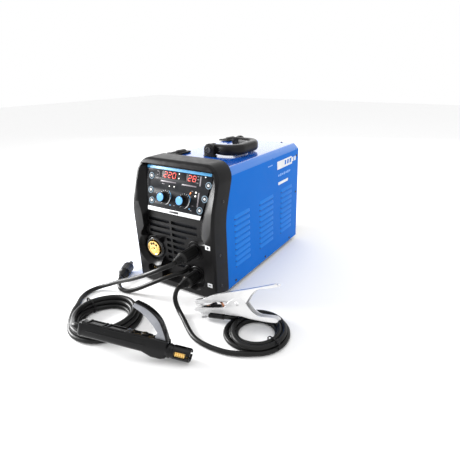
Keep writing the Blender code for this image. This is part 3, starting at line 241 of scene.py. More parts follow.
def make_materials():
    return {
        "blue_paint": powder_coat("blue_paint", (0.0060, 0.158, 0.620), (0.0050, 0.148, 0.590), 0.40, 0.02),
        "black_plastic": moulded("black_plastic", (0.0065, 0.0062, 0.0066), (0.0048, 0.0046, 0.0050), 0.33, 1600,
                                 0.06),
        "panel_film": moulded("panel_film", (0.0075, 0.0085, 0.0110), (0.0055, 0.0062, 0.0085), 0.34, 2500, 0.05),
        "rubber": moulded("rubber", (0.0075, 0.0075, 0.0075), (0.0050, 0.0050, 0.0050), 0.38, 900, 0.12),
        "zinc_steel": metal("zinc_steel", (0.90, 0.90, 0.90), (0.80, 0.80, 0.81), 0.32, (1, 1, 1), 700),
        "brass": metal("brass", (0.90, 0.62, 0.22), (0.76, 0.46, 0.13), 0.22, (1, 1, 1), 700),
        "copper": metal("copper", (0.86, 0.42, 0.24), (0.66, 0.29, 0.16), 0.26, (1, 1, 1), 700),
        "aluminium": metal("aluminium", (0.75, 0.76, 0.78), (0.66, 0.67, 0.70), 0.34, (1, 12, 1)),
        "black_metal": powder_coat("black_metal", (0.020, 0.020, 0.022), (0.014, 0.014, 0.016), 0.42, 0.3),
        "board": moulded("board", (0.02, 0.16, 0.07), (0.015, 0.11, 0.05), 0.45, 700, 0.10),
        "button_grey": moulded("button_grey", (0.20, 0.30, 0.38), (0.15, 0.23, 0.30), 0.40),
        "spool_plastic": moulded("spool_plastic", (0.05, 0.05, 0.055), (0.04, 0.04, 0.045), 0.42),
        "wire_pack": metal("wire_pack", (0.80, 0.42, 0.24), (0.62, 0.31, 0.17), 0.30),
    }


SLOTS = make_materials()
INKS = {
    "white": moulded("ink_white", (0.84, 0.85, 0.86), (0.76, 0.77, 0.79), 0.45, 2500, 0.04),
    "blue": moulded("ink_blue", (0.085, 0.36, 0.66), (0.07, 0.31, 0.60), 0.40, 2500, 0.04),
    "grey": moulded("ink_grey", (0.19, 0.17, 0.19), (0.15, 0.13, 0.15), 0.45, 2500, 0.04),
    "dark": moulded("ink_dark", (0.012, 0.012, 0.014), (0.009, 0.009, 0.010), 0.35, 2500, 0.04),
    "cap": moulded("cap_blue", (0.085, 0.34, 0.70), (0.07, 0.30, 0.64), 0.32, 1500, 0.06),
    "red": glowing("lit_red", (0.72, 0.035, 0.020), 0.42),
    "lamp": glowing("lit_white", (0.95, 0.93, 0.88), 0.9),
    "orange": glowing("lit_orange", (0.85, 0.24, 0.05), 0.6),
    "shadow": moulded("slit_shadow", (0.002, 0.014, 0.085), (0.0015, 0.010, 0.065), 0.60, 900, 0.05),
    "pale_blue": moulded("ink_pale_blue", (0.20, 0.42, 0.86), (0.17, 0.37, 0.80), 0.45, 2500, 0.04),
    "silver": moulded("ink_silver", (0.55, 0.56, 0.58), (0.48, 0.49, 0.51), 0.35, 2500, 0.04),
}
# The top's copy of the blue paint is a darker blue: painted shade.
SHADED_TOP_PAINT = powder_coat("blue_paint_top_painted_shade", (0.004, 0.110, 0.560), (0.003, 0.100, 0.530), 0.24, 1.0, 0.008)
# The louvre hoods' copy of the blue paint is a lighter blue: painted highlight on the hoods.
LIT_HOOD_PAINT = powder_coat("blue_paint_hood_painted_highlight", (0.016, 0.205, 0.700), (0.013, 0.190, 0.660), 0.38, 0.06)
# The chamfer's copy of the blue paint is a lighter blue: painted highlight.
LIT_BEND_PAINT = powder_coat("blue_paint_bend_painted_highlight", (0.006, 0.170, 0.620), (0.005, 0.155, 0.590), 0.30, 0.45, 0.01)
SOFT_BLACK = moulded("soft_black", (0.011, 0.0100, 0.0100), (0.008, 0.0074, 0.0074), 0.30, 1200, 0.06)
GLOSS_BLACK = moulded("gloss_black_tool", (0.0055, 0.0055, 0.0060), (0.0040, 0.0040, 0.0045), 0.20, 1400, 0.03)
LEVER_GREY = moulded("lever_grey", (0.34, 0.35, 0.38), (0.26, 0.27, 0.30), 0.28, 900, 0.10)
for gentle, level in ((SLOTS["blue_paint"], 0.05), (SLOTS["black_plastic"], 0.16), (SLOTS["panel_film"], 0.10),
                      (SLOTS["rubber"], 0.22),
                      (SOFT_BLACK, 0.20), (GLOSS_BLACK, 0.22), (LIT_HOOD_PAINT, 0.10)):
    gentle.node_tree.nodes["Principled BSDF"].inputs["Specular IOR Level"].default_value = level


def coat_frame():
    """Every CAD node gets its slot's material."""
    slots = {entry["node"]: entry["material_slot"] for entry in frame["record"]["subparts"]}
    for name, obj in frame["nodes"].items():
        for index in range(len(obj.material_slots)):
            obj.material_slots[index].material = SLOTS[slots[name]]


# ---------------------------------------------------------------- making pieces

def piece(name, mesh, slot, body, sharp=35, finish=None):
    """A mesh as a piece of the object: its slot's material unless a finish is given, its body, and smooth shading up to
    an angle.
    """
    obj = bpy.data.objects.new(name, mesh)
    bpy.context.scene.collection.objects.link(obj)
    mesh.materials.clear()
    mesh.materials.append(finish or SLOTS[slot])
    mesh.shade_smooth()
    mesh.set_sharp_from_angle(angle=math.radians(sharp))
    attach(obj, body)
    return obj


def mesh_of(bm):
    mesh = bpy.data.meshes.new("mesh")
    bmesh.ops.recalc_face_normals(bm, faces=bm.faces)
    bm.to_mesh(mesh)
    bm.free()
    return mesh


def merged(*meshes):
    """Several meshes as one."""
    bm = bmesh.new()
    for mesh in meshes:
        bm.from_mesh(mesh)
        bpy.data.meshes.remove(mesh)
    return mesh_of(bm)


def moved(mesh, place):
    mesh.transform(place)
    return mesh


def loft(rings, closed=True, caps=True):
    """A skin over matched rings of points."""
    bm = bmesh.new()
    rows = [[bm.verts.new(point) for point in ring] for ring in rings]
    count = len(rows[0])
    for low, high in zip(rows, rows[1:]):
        for i in range(count if closed else count - 1):
            j = (i + 1) % count
            bm.faces.new((low[i], low[j], high[j], high[i]))
    if caps:
        bm.faces.new(rows[0][::-1])
        bm.faces.new(rows[-1])
    return mesh_of(bm)


def lathe(profile, steps=40, flutes=0, depth=0.0, fluted=()):
    """A (radius, height) profile turned about Z; the rows in fluted ripple in and out."""
    rings = []
    for row, (radius, height) in enumerate(profile):
        ring = []
        for step in range(steps):
            angle = 2 * math.pi * step / steps
            r = radius
            if row in fluted:
                r -= depth * (0.5 - 0.5 * math.cos(flutes * angle))
            ring.append((r * math.cos(angle), r * math.sin(angle), height))
        rings.append(ring)
    return loft(rings)


def flat(outline, thickness, place=Matrix(), holes=(), bevel=0.0, segments=2):
    """A plate of this outline from the plane of place outwards, with holes and rounded edges."""
    curve = bpy.data.curves.new("flat", "CURVE")
    curve.dimensions = "2D"
    curve.fill_mode = "BOTH"
    curve.extrude = thickness / 2 - bevel
    curve.bevel_depth = bevel
    curve.bevel_resolution = segments
    curve.offset = -bevel
    for loop in (outline, *holes):
        spline = curve.splines.new("POLY")
        spline.points.add(len(loop) - 1)
        for point, (u, v) in zip(spline.points, loop):
            point.co = (u, v, 0.0, 1.0)
        spline.use_cyclic_u = True
    obj = bpy.data.objects.new("flat", curve)
    bpy.context.scene.collection.objects.link(obj)
    bpy.context.view_layer.update()
    mesh = bpy.data.meshes.new_from_object(obj.evaluated_get(bpy.context.evaluated_depsgraph_get()))
    bpy.data.objects.remove(obj, do_unlink=True)
    bm = bmesh.new()
    bm.from_mesh(mesh)
    bmesh.ops.remove_doubles(bm, verts=bm.verts, dist=0.000002)
    bmesh.ops.translate(bm, verts=bm.verts, vec=(0, 0, thickness / 2))
    bpy.data.meshes.remove(mesh)
    return moved(mesh_of(bm), place)


def arc(centre, radius, start, end, count):
    """Points along an arc, in degrees."""
    angles = [math.radians(start + (end - start) * i / (count - 1)) for i in range(count)]
    return [(centre[0] + radius * math.cos(angle), centre[1] + radius * math.sin(angle)) for angle in angles]


def circle(centre, radius, count=32):
    return arc(centre, radius, 0, 360 - 360 / count, count)


def rounded(u, v, width, height, radius, count=5):
    """A rounded rectangle about (u, v)."""
    points = []
    for quarter, (a, b) in enumerate(((1, -1), (1, 1), (-1, 1), (-1, -1))):
        centre = (u + a * (width / 2 - radius), v + b * (height / 2 - radius))
        points += arc(centre, radius, quarter * 90 - 90, quarter * 90, count)
    return points


def bar(start, end, width, height, bevel=0.0):
    """A rounded box between two corners or along a line."""
    bm = bmesh.new()
    low, high = Vector(start), Vector(end)
    bmesh.ops.create_cube(bm, size=1.0)
    bmesh.ops.scale(bm, verts=bm.verts, vec=(width, height, (high - low).length))
    if bevel:
        bmesh.ops.bevel(bm, geom=bm.edges, offset=bevel, segments=3, affect="EDGES", profile=0.5)
    turn = (high - low).to_track_quat("Z", "Y").to_matrix().to_4x4()
    return moved(mesh_of(bm), Matrix.Translation((low + high) / 2) @ turn)


def block(low, high, bevel=0.0, segments=3):
    low, high = Vector(low), Vector(high)
    bm = bmesh.new()
    size = Matrix.Diagonal((*(high - low), 1.0))
    bmesh.ops.create_cube(bm, size=1.0, matrix=Matrix.Translation((low + high) / 2) @ size)
    if bevel:
        bmesh.ops.bevel(bm, geom=bm.edges, offset=bevel, segments=segments, affect="EDGES", profile=0.5)
    return mesh_of(bm)


def pipe(points, radius, sides=16, closed=False):
    """A round rod along a polyline."""
    points = [Vector(point) for point in points]
    radii = radius if isinstance(radius, (list, tuple)) else [radius] * len(points)
    rings = []
    side = None
    for i, point in enumerate(points):
        if closed:
            along = (points[(i + 1) % len(points)] - points[i - 1]).normalized()
        else:
            along = (points[min(i + 1, len(points) - 1)] - points[max(i - 1, 0)]).normalized()
        if side is None:
            side = along.orthogonal().normalized()
        side = (side - side.dot(along) * along).normalized()
        up = along.cross(side)
        rings.append([point + radii[i] * (math.cos(2 * math.pi * k / sides) * side
                                          + math.sin(2 * math.pi * k / sides) * up) for k in range(sides)])
    if closed:
        return loft([*rings, rings[0]], caps=False)
    return loft(rings)


def carve(mesh, *cutters):
    """Boolean differences, applied."""
    base = bpy.data.objects.new("base", mesh)
    bpy.context.scene.collection.objects.link(base)
    tools = []
    for cutter in cutters:
        tool = bpy.data.objects.new("tool", cutter)
        bpy.context.scene.collection.objects.link(tool)
        modifier = base.modifiers.new("cut", "BOOLEAN")
        modifier.operation = "DIFFERENCE"
        modifier.solver = "EXACT"
        modifier.object = tool
        tools.append(tool)
    bpy.context.view_layer.update()
    result = bpy.data.meshes.new_from_object(base.evaluated_get(bpy.context.evaluated_depsgraph_get()))
    for obj in (base, *tools):
        bpy.data.objects.remove(obj, do_unlink=True)
    return result


def front_axis(x, y, z):
    """Local Z points out of the front, towards -Y."""
    return Matrix.Translation((x, y, z)) @ Matrix.Rotation(math.pi / 2, 4, "X")


def ring_at(outline, y):
    return [(u, y, v) for u, v in outline]


def panel_frame(x=0.0, s=0.0, proud=0.0):
    """Local X right, local Y up the panel's slope, local Z out of its face."""
    lag = FRONT_LAG * (1 - RECESS / BEZEL_DEPTH)
    foot = FRONT + RECESS - GAP + bow(LEAN_FULL) + (PANEL_FOOT_Z - lag - LEAN_FULL) * math.tan(LEAN)
    right = Vector((1, 0, 0))
    up = Vector((0, math.sin(LEAN), math.cos(LEAN)))
    out = right.cross(up)
    place = Matrix((right, up, out)).transposed().to_4x4()
    face = PANEL_THICKNESS + GAP
    place.translation = Vector((0, foot, PANEL_FOOT_Z)) + x * right + s * up + (face + proud) * out
    return place


def screw(radius, place):
    """A cross-head screw, its head along local Z."""
    head = lathe([(0.0001, -0.001), (radius, -0.001), (radius, 0.0006), (radius * 0.82, 0.0013),
                  (radius * 0.45, 0.0017), (0.0001, 0.0018)], 20)
    cross = [block((-radius * 0.62, -radius * 0.13, 0.0006), (radius * 0.62, radius * 0.13, 0.004)),
             block((-radius * 0.13, -radius * 0.62, 0.0006), (radius * 0.13, radius * 0.62, 0.004))]
    return moved(carve(head, *cross), place)


# ---------------------------------------------------------------- bezel

def bezel_outline(inset=0.0):
    half = BEZEL_HALF - inset
    low, high = BEZEL_LOW.z + inset, BEZEL_HIGH.z - inset
    foot, shoulder = 0.014 - inset / 2, 0.042 - inset
    points = arc((half - foot, low + foot), foot, -90, 0, 7)
    points += arc((half - shoulder, high - shoulder), shoulder, 0, 90, 19)
    points += arc((shoulder - half, high - shoulder), shoulder, 90, 180, 19)
    points += arc((foot - half, low + foot), foot, 180, 270, 7)
    return points


def casing_outline(inset=0.0):
    half = HALF_WIDTH - inset
    low, high = CASE_BOTTOM + inset, CASE_TOP - inset
    return [(-half, low), (half, low), (half, high - CHAMFER), (half - CHAMFER, high), (CHAMFER - half, high),
            (-half, high - CHAMFER)]


def flared(deep, lip, depth, shape=1.0, rows=8):
    """A recess cutter whose outline widens from its floor to the lip at the front."""
    rings = [ring_at(deep, FRONT + depth)]
    for row in range(rows + 1):
        share = row / rows
        wide = share ** shape
        outline = [(a[0] + (b[0] - a[0]) * wide, a[1] + (b[1] - a[1]) * wide) for a, b in zip(deep, lip)]
        rings.append(ring_at(outline, FRONT + depth * (1 - share) - 0.00005 * row))
    rings.append(ring_at(lip, FRONT - 0.01))
    return loft(rings[1:] if rings[0] == rings[1] else rings)


def seat_outlines():
    """The panel's seat: its floor follows the panel, its lip swings wider beside the upper panel."""
    half_deep = [(0.0760, 0.1550), (0.0785, 0.1700), (0.0805, 0.1900), (0.0848, 0.2060), (0.0890, 0.2290),
                 (0.0939, 0.2540), (0.0999, 0.2810), (0.1034, 0.3020), (0.1036, 0.3110), (0.0985, 0.3175),
                 (0.0900, 0.3195)]
    half_lip = [(0.0850, 0.1500), (0.0948, 0.1660), (0.0952, 0.1900), (0.0990, 0.2060), (0.1075, 0.2270),
                (0.1140, 0.2500), (0.1180, 0.2740), (0.1183, 0.2930), (0.1158, 0.3080), (0.1085, 0.3170),
                (0.0960, 0.3212)]
    wide_lip = [(0.0860, 0.1480), (0.1020, 0.1570), (0.1140, 0.1710), (0.1212, 0.1890), (0.1236, 0.2080),
                (0.1238, 0.2300), (0.1238, 0.2560), (0.1236, 0.2780), (0.1205, 0.2970), (0.1120, 0.3130),
                (0.0970, 0.3212)]
    deep = half_deep + [(-u, v) for u, v in half_deep[:2:-1]] + [(-0.0930, 0.1900), (-0.0930, 0.1640),
                                                                 (-0.0930, 0.1340)]
    lip = wide_lip + [(-u, v) for u, v in half_lip[:2:-1]] + [(-0.0952, 0.1900), (-0.0950, 0.1640), (-0.0965, 0.1310)]
    return smooth_loop(deep), smooth_loop(lip)


def smooth_loop(points, steps=4):
    """Finer points round a closed outline."""
    result = []
    count = len(points)
    for i in range(count):
        a, b, c, d = (Vector(points[(i + k) % count]) for k in (-1, 0, 1, 2))
        for step in range(steps):
            t = step / steps
            point = 0.5 * (2 * b + (c - a) * t + (2 * a - 5 * b + 4 * c - d) * t * t
                           + (3 * b - a - 3 * c + d) * t * t * t)
            result.append((point.x, point.y))
    return result


def bezel_body():
    edge = 0.0065
    rings = [ring_at(bezel_outline(0.0), JOINT)]
    for step in range(8):
        angle = math.pi / 2 * step / 7
        inset = edge * (1 - math.cos(angle))
        rings.append(ring_at(bezel_outline(inset), FRONT + edge * (1 - math.sin(angle))))
    body = loft(rings)
    start, end = FRONT + RECESS + WEB, JOINT - LIP
    cavity = loft([ring_at(bezel_outline(0.0035), end), ring_at(bezel_outline(0.0035), start)])
    mouth = loft([ring_at(casing_outline(0.0060), JOINT + 0.01), ring_at(casing_outline(0.0060), JOINT - 0.01)])
    cutters = [cavity, mouth, flared(*seat_outlines(), RECESS, 1.7, 14)]
    field = [(-0.0480, 0.0240), (0.0400, 0.0240), (0.0400, 0.1700), (-0.0480, 0.1700)]
    for outline in (field,):
        wide = [(u + (0.0012 if u > 0 else -0.0012), v + (0.0012 if v > 0.1 else -0.0012)) for u, v in outline]
        cutters.append(flared(outline, wide, RECESS, 1.0, 2))
    pill = [arc((SOCKET_X, NEGATIVE_Z), r, 180, 360, 21) + arc((SOCKET_X, POSITIVE_Z), r, 0, 180, 21)
            for r in (PILL_RADIUS - 0.001, PILL_RADIUS + 0.0012)]
    cutters.append(flared(*pill, RECESS, 3.0, 6))
    cup = [circle((EURO_X, EURO_Z), r, 56) for r in (0.0340, 0.0462)]
    cutters.append(flared(*cup, RECESS, 1.7, 8))
    pocket = [rounded(-0.0800, 0.0440, w, h, r, 7) for w, h, r in ((0.030, 0.024, 0.0119), (0.034, 0.028, 0.0139))]
    cutters.append(flared(*pocket, 0.012, 2.0, 5))
    return carve(body, *cutters)


def vent_cutters():
    slots = []
    for row in range(8):
        z = 0.182 - 0.0165 * row
        left_start = -0.036 if z < EURO_Z + 0.044 else -0.0905
        over = z - POSITIVE_Z
        right_end = 0.066 if over > PILL_RADIUS + 0.004 else SOCKET_X - 0.0015 - math.sqrt(
            max(PILL_RADIUS ** 2 - max(over - 0.0045, 0.0) ** 2, 0.0001))
        for start, end in ((left_start, -0.0215), (-0.0155, right_end)):
            outline = rounded((start + end) / 2, z, end - start, 0.0090, 0.0012, 3)
            slots.append(loft([ring_at(outline, FRONT + 0.030), ring_at(outline, FRONT + 0.006)]))
    return slots


def bezel():
    body = carve(bezel_body(), *vent_cutters())
    web = FRONT + RECESS + WEB / 2
    window = block((-0.075, web - 0.02, 0.224), (0.075, web + 0.02, 0.306))
    holes = [moved(lathe([(radius, -0.012), (radius, 0.012)], 36), front_axis(x, web, z))
             for x, z, radius in ((EURO_X, EURO_Z, 0.0225), (SOCKET_X, POSITIVE_Z, 0.0125),
                                  (SOCKET_X, NEGATIVE_Z, 0.0125), (GLAND_X, GLAND_Z, 0.0075))]
    body = carve(body, window, *holes)
    bm = bmesh.new()
    bm.from_mesh(body)
    levels = 40
    for step in range(levels + 1):
        level = LEAN_START - 0.002 + (BEZEL_HIGH.z - LEAN_START) * step / levels
        geometry = list(bm.verts) + list(bm.edges) + list(bm.faces)
        bmesh.ops.bisect_plane(bm, geom=geometry, plane_co=(0, 0, level), plane_no=(0, 0, 1), dist=0.000001)
    for vertex in bm.verts:
        share = min(max((vertex.co.y - FRONT) / BEZEL_DEPTH, 0.0), 1.0)
        vertex.co.y += bow(vertex.co.z - FRONT_LAG * (1 - share))
    bmesh.ops.triangulate(bm, faces=bm.faces)
    obj = piece("bezel_moulding", mesh_of(bm), "black_plastic", "machine", 30)
    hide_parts("front_bezel")
    # A dark sheet behind the vent slots, with openings round the connectors, and a strip above it are painted shade:
    # they stand in for the dark inside seen through the vents.
    depth = FRONT + RECESS + WEB + 0.0012
    shade_sheet = block((-0.0960, depth, 0.0300), (0.0720, depth + 0.0008, 0.1720))
    openings = [moved(lathe([(radius, -0.01), (radius, 0.01)], 36), front_axis(x, depth, z))
                for x, z, radius in ((EURO_X, EURO_Z, 0.0270), (SOCKET_X, POSITIVE_Z, 0.0190),
                                     (SOCKET_X, NEGATIVE_Z, 0.0190), (GLAND_X, GLAND_Z, 0.0130))]
    upper = block((-0.0960, depth + 0.0010, 0.1722), (0.0720, depth + 0.0018, 0.1930))
    piece("vent_shade_sheet", merged(carve(shade_sheet, *openings), upper), "panel_film", "machine")

# ---------------------------------------------------------------- panel

def printed(name, ink, outlines, proud=0.0, thickness=0.00025, body="machine", place=None, slot="panel_film"):
    """Marks of one ink, each a thin plate that stands on the surface."""
    marks = [flat(outline, thickness, bevel=0.00006, segments=1) for outline in outlines]
    mesh = moved(merged(*marks), place or panel_frame(proud=proud))
    return piece(name, mesh, slot, body, finish=INKS[ink])


def slanted_bar(u, v, width, height, slant=0.0):
    low, high = v - height / 2, v + height / 2
    return [(u - width / 2 + slant * low, low), (u + width / 2 + slant * low, low),
            (u + width / 2 + slant * high, high), (u - width / 2 + slant * high, high)]


def digit_segments(u, v, lit, width=0.0092, height=0.0130, slant=0.10):
    """The lit segments of a seven-segment digit: top, upper left, upper right, middle, and so on down."""
    stroke, half_w, half_h = 0.0019, width / 2, height / 2
    bars = {
        "a": (0, half_h, half_w * 1.5, stroke), "g": (0, 0, half_w * 1.5, stroke),
        "d": (0, -half_h, half_w * 1.5, stroke),
        "f": (-half_w, half_h / 2, stroke, half_h * 0.84), "b": (half_w, half_h / 2, stroke, half_h * 0.84),
        "e": (-half_w, -half_h / 2, stroke, half_h * 0.84), "c": (half_w, -half_h / 2, stroke, half_h * 0.84),
    }
    result = []
    for name in lit:
        x, y, w, h = bars[name]
        result.append([(u + x + a * w / 2 + slant * (y + b * h / 2), v + y + b * h / 2)
                       for a, b in ((-1, -1), (1, -1), (1, 1), (-1, 1))])
    return result


DIGITS = {"0": "abcdef", "2": "abged", "8": "abcdefg"}


def crescent(centre, radius, start, end, widest):
    """An arc that is thickest in its middle."""
    outer = arc(centre, radius, start, end, 15)
    inner = []
    for i, angle in enumerate(math.radians(start + (end - start) * k / 14) for k in range(15)):
        r = radius - widest * math.sin(math.pi * (i + 0.4) / 14.8) - 0.0001
        inner.append((centre[0] + r * math.cos(angle), centre[1] + r * math.sin(angle)))
    return outer + inner[::-1]


def tick(centre, angle, near, far, width=0.0008):
    along = Vector((math.cos(math.radians(angle)), math.sin(math.radians(angle))))
    side = Vector((-along.y, along.x)) * width / 2
    centre = Vector(centre)
    corners = (centre + near * along - side, centre + far * along - side, centre + far * along + side,
               centre + near * along + side)
    return [tuple(corner) for corner in corners]


def panel_film():
    """The printed film over the whole panel, with windows for displays, knobs and buttons."""
    bottom, top = PANEL_BOTTOM_HALF + 0.0004, PANEL_TOP_HALF - 0.0004
    outline = [(-bottom, -0.0005), (bottom, -0.0005), (top, PANEL_LENGTH - 0.0125),
               (top - 0.0020, PANEL_LENGTH - 0.0080),
               (top - 0.0075, PANEL_LENGTH - 0.0042), (0.0075 - top, PANEL_LENGTH - 0.0042),
               (0.0020 - top, PANEL_LENGTH - 0.0080), (-top, PANEL_LENGTH - 0.0125)]
    holes = [circle(place, 0.0068, 28) for place in BUTTON_PLACES.values()]
    holes += [circle(place, 0.0046, 24) for place in KNOB_PLACES.values()]
    holes += [slanted_bar(x, DISPLAY_S, width, DISPLAY_HEIGHT) for x, width in DISPLAYS.values()]
    film = flat(outline, 0.0005, panel_frame(), holes, bevel=0.00012)
    piece("panel_film_sheet", film, "panel_film", "machine")
    windows = [rounded(x, DISPLAY_S, width - 0.0006, DISPLAY_HEIGHT - 0.0006, 0.0008, 3)
               for x, width in DISPLAYS.values()]
    glass = merged(*[flat(window, 0.0012, panel_frame(proud=-0.0011), bevel=0.0002) for window in windows])
    smoked = material("smoked_window", (0.010, 0.003, 0.003), 0.40, Specular_IOR_Level=0.12)
    vary_roughness(smoked, noise(smoked.node_tree, 200), 0.32, 0.44)
    piece("display_windows", glass, "panel_film", "machine", finish=smoked)


def panel_print():
    lift = 0.00045
    left, right = KNOB_PLACES["current_knob"], KNOB_PLACES["voltage_knob"]
    strip = [(-0.1012, 0.1045), (0.0992, 0.1045), (0.1000, 0.1100), (0.0985, 0.1112), (-0.0995, 0.1112),
             (-0.1020, 0.1100)]
    blue = [strip]
    white = [[(-0.0826, 0.0003), (0.0824, 0.0003), (0.0842, 0.0100), (-0.0842, 0.0100)]]
    grey = [slanted_bar(-0.0272, 0.0768, 0.0490, 0.0030), slanted_bar(0.0378, 0.0758, 0.0440, 0.0030),
            slanted_bar(0.0700, 0.0900, 0.0035, 0.0230), slanted_bar(0.0700, 0.0460, 0.0035, 0.0340)]
    dark = [slanted_bar(0.0004, 0.0052, 0.0300, 0.0052, 0.2)]
    for x, s in (left, right):
        white += [tick((x, s), angle, 0.0158, 0.0176) for angle in range(45, 250, 22)]
        white += [crescent((x, s), 0.0182, -72, 30, 0.0016)]
        blue += [crescent((x, s), 0.0212, 6, 62, 0.0012), slanted_bar(x + 0.0205, s - 0.0160, 0.0035, 0.0022),
                 slanted_bar(x + 0.0190, s + 0.0010, 0.0022, 0.0022)]
    for u, v, w in ((-0.0900, 0.1020, 0.0180), (-0.0640, 0.0990, 0.0060), (-0.0640, 0.0900, 0.0040),
                    (-0.0640, 0.0820, 0.0060),
                    (0.0620, 0.1000, 0.0050), (0.0630, 0.0930, 0.0060), (0.0620, 0.0850, 0.0050),
                    (-0.0420, 0.0700, 0.0080),
                    (-0.0600, 0.0450, 0.0045), (0.0500, 0.0640, 0.0050), (0.0520, 0.0180, 0.0060),
                    (0.0560, 0.0300, 0.0050),
                    (-0.0600, 0.0230, 0.0050), (0.0000, 0.0220, 0.0050), (0.0470, 0.0500, 0.0040)):
        grey.append(slanted_bar(u, v, w, 0.0014))
    for u, v in ((-0.0590, 0.0905), (0.0560, 0.0925)):
        grey += [slanted_bar(u, v, 0.0006, 0.0150), slanted_bar(u - 0.0015, v + 0.0072, 0.0030, 0.0006),
                 slanted_bar(u - 0.0015, v - 0.0072, 0.0030, 0.0006)]
    for name, ink, outlines in (("print_blue", "blue", blue), ("print_white", "white", white),
                                ("print_grey", "grey", grey), ("print_dark", "dark", dark)):
        rise = lift + (0.00020 if name == "print_dark" else 0.0)
        printed(name, ink, outlines, proud=rise)
    lamps = [circle(place, 0.0014, 16) for place in ((0.0047, 0.0994), (0.0048, 0.0887), (0.0831, 0.1012),
                                                     (-0.0217, 0.0664),
                                                     (-0.0066, 0.0672), (0.0612, 0.0625), (0.0606, 0.0537))]
    lamps[-2] = circle((0.0612, 0.0625), 0.0021, 16)
    lamps[-1] = circle((0.0606, 0.0537), 0.0021, 16)
    printed("panel_lamps", "lamp", lamps, proud=lift, thickness=0.0006)
    printed("panel_lamp_orange", "orange", [circle((0.0456, 0.0594), 0.0017, 16),
                                            slanted_bar(0.0440, 0.0570, 0.0018, 0.0040)],
            proud=lift, thickness=0.0005)
    segments = []
    for digit, u in zip("220", (-0.0385, -0.0250, -0.0112)):
        segments += digit_segments(u, 0.0935, DIGITS[digit])
    for digit, u in zip("28", (0.0375, 0.0510)):
        segments += digit_segments(u, 0.0935, DIGITS[digit])
    printed("display_digits", "red", segments, proud=0.00015)


def knobs():
    for name, place in KNOB_PLACES.items():
        top = 0.0170
        side = "left" if place[0] < 0 else "right"
        skirt = lathe([(0.0001, GAP), (0.0135, GAP), (0.0135, 0.0022), (0.0126, 0.0034), (0.0122, 0.0040),
                       (0.0118, 0.0150), (0.0112, 0.0163), (0.0100, top - 0.0004), (0.0001, top - 0.0004)],
                      96, 16, 0.0011, (4, 5, 6))
        shaft = lathe([(0.0001, -0.003), (0.0038, -0.003), (0.0038, 0.0010), (0.0001, 0.0010)], 24)
        body = piece(f"knob_{side}", moved(merged(skirt, shaft), panel_frame(*place)), "black_plastic", name, 30)
        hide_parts(name)
        cap = lathe([(0.0001, top - 0.0012), (0.0104, top - 0.0012), (0.0104, top - 0.0004), (0.0098, top + 0.0001),
                     (0.0001, top + 0.0002)], 48)
        pointer = flat(slanted_bar(0, 0.0072, 0.0011, 0.0042), 0.0002)
        piece(f"knob_cap_{side}", moved(cap, panel_frame(*place)), "black_plastic", name, 30, INKS["cap"])
        pointer = moved(pointer, panel_frame(*place, proud=top + 0.00012))
        piece(f"knob_pointer_{side}", pointer, "black_plastic", name, 30, INKS["white"])
        nut = lathe([(0.0052, -0.0002), (0.0150, -0.0002), (0.0150, 0.0005), (0.0146, 0.00085), (0.0140, 0.0005),
                     (0.0052, 0.0005)], 56)
        piece(f"knob_seat_{side}", moved(nut, panel_frame(*place, proud=0.0005)), "panel_film", "machine", 30,
              INKS["dark"])


def buttons():
    for name, place in BUTTON_PLACES.items():
        ring = lathe([(0.0064, -0.0006), (0.0084, -0.0006), (0.0084, 0.0006), (0.0080, 0.0010), (0.0070, 0.0011),
                      (0.0064, 0.0007)], 40)
        bm = bmesh.new()
        bm.from_mesh(ring)
        bmesh.ops.delete(bm, geom=[face for face in bm.faces if len(face.verts) > 4], context="FACES_ONLY")
        inner = [vertex for vertex in bm.verts if abs(vertex.co.xy.length - 0.0064) < 0.00001]
        low = sorted((v for v in inner if v.co.z < 0), key=lambda v: math.atan2(v.co.y, v.co.x))
        high = sorted((v for v in inner if v.co.z > 0), key=lambda v: math.atan2(v.co.y, v.co.x))
        for i in range(len(low)):
            j = (i + 1) % len(low)
            bm.faces.new((low[i], high[i], high[j], low[j]))
        bezel_ring = mesh_of(bm)
        piece(f"{name}_ring", moved(bezel_ring, panel_frame(*place, proud=0.0005)), "button_grey", "machine")
        cap = lathe([(0.0001, -0.0013), (0.0059, -0.0013), (0.0059, 0.0008), (0.0054, 0.0013), (0.0046, 0.0014),
                     (0.0042, 0.0012), (0.0030, 0.0012), (0.0028, 0.0013), (0.0001, 0.00135)], 36)
        obj = piece(f"{name}_cap", moved(cap, panel_frame(*place)), "button_grey", name, 30, INKS["dark"])
        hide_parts(name)
        dot = [circle((0, 0), 0.0027, 24)]
        mesh = moved(flat(dot[0], 0.0003, bevel=0.00008), panel_frame(*place, proud=0.0013))
        piece(f"{name}_mark", mesh, "button_grey", name, 30, INKS["white"])


def polarity_labels():
    for name, z, cross in (("label_plus", 0.1475, True), ("label_minus", 0.0460, False)):
        place = front_axis(0.1092, FRONT - 0.0001, z)
        plate = flat(rounded(0, 0, 0.0145, 0.0110, 0.0012, 4), 0.0006, place, bevel=0.0001)
        piece(name, plate, "black_plastic", "machine", finish=INKS["white"])
        strokes = [flat(slanted_bar(0, 0, 0.0068, 0.0022), 0.0003)]
        if cross:
            strokes.append(flat(slanted_bar(0, 0, 0.0022, 0.0068), 0.0003))
        piece(name + "_sign", moved(merged(*strokes), place @ Matrix.Translation((0, 0, 0.0006))), "black_plastic",
              "machine",
              finish=INKS["dark"])


# ---------------------------------------------------------------- connectors

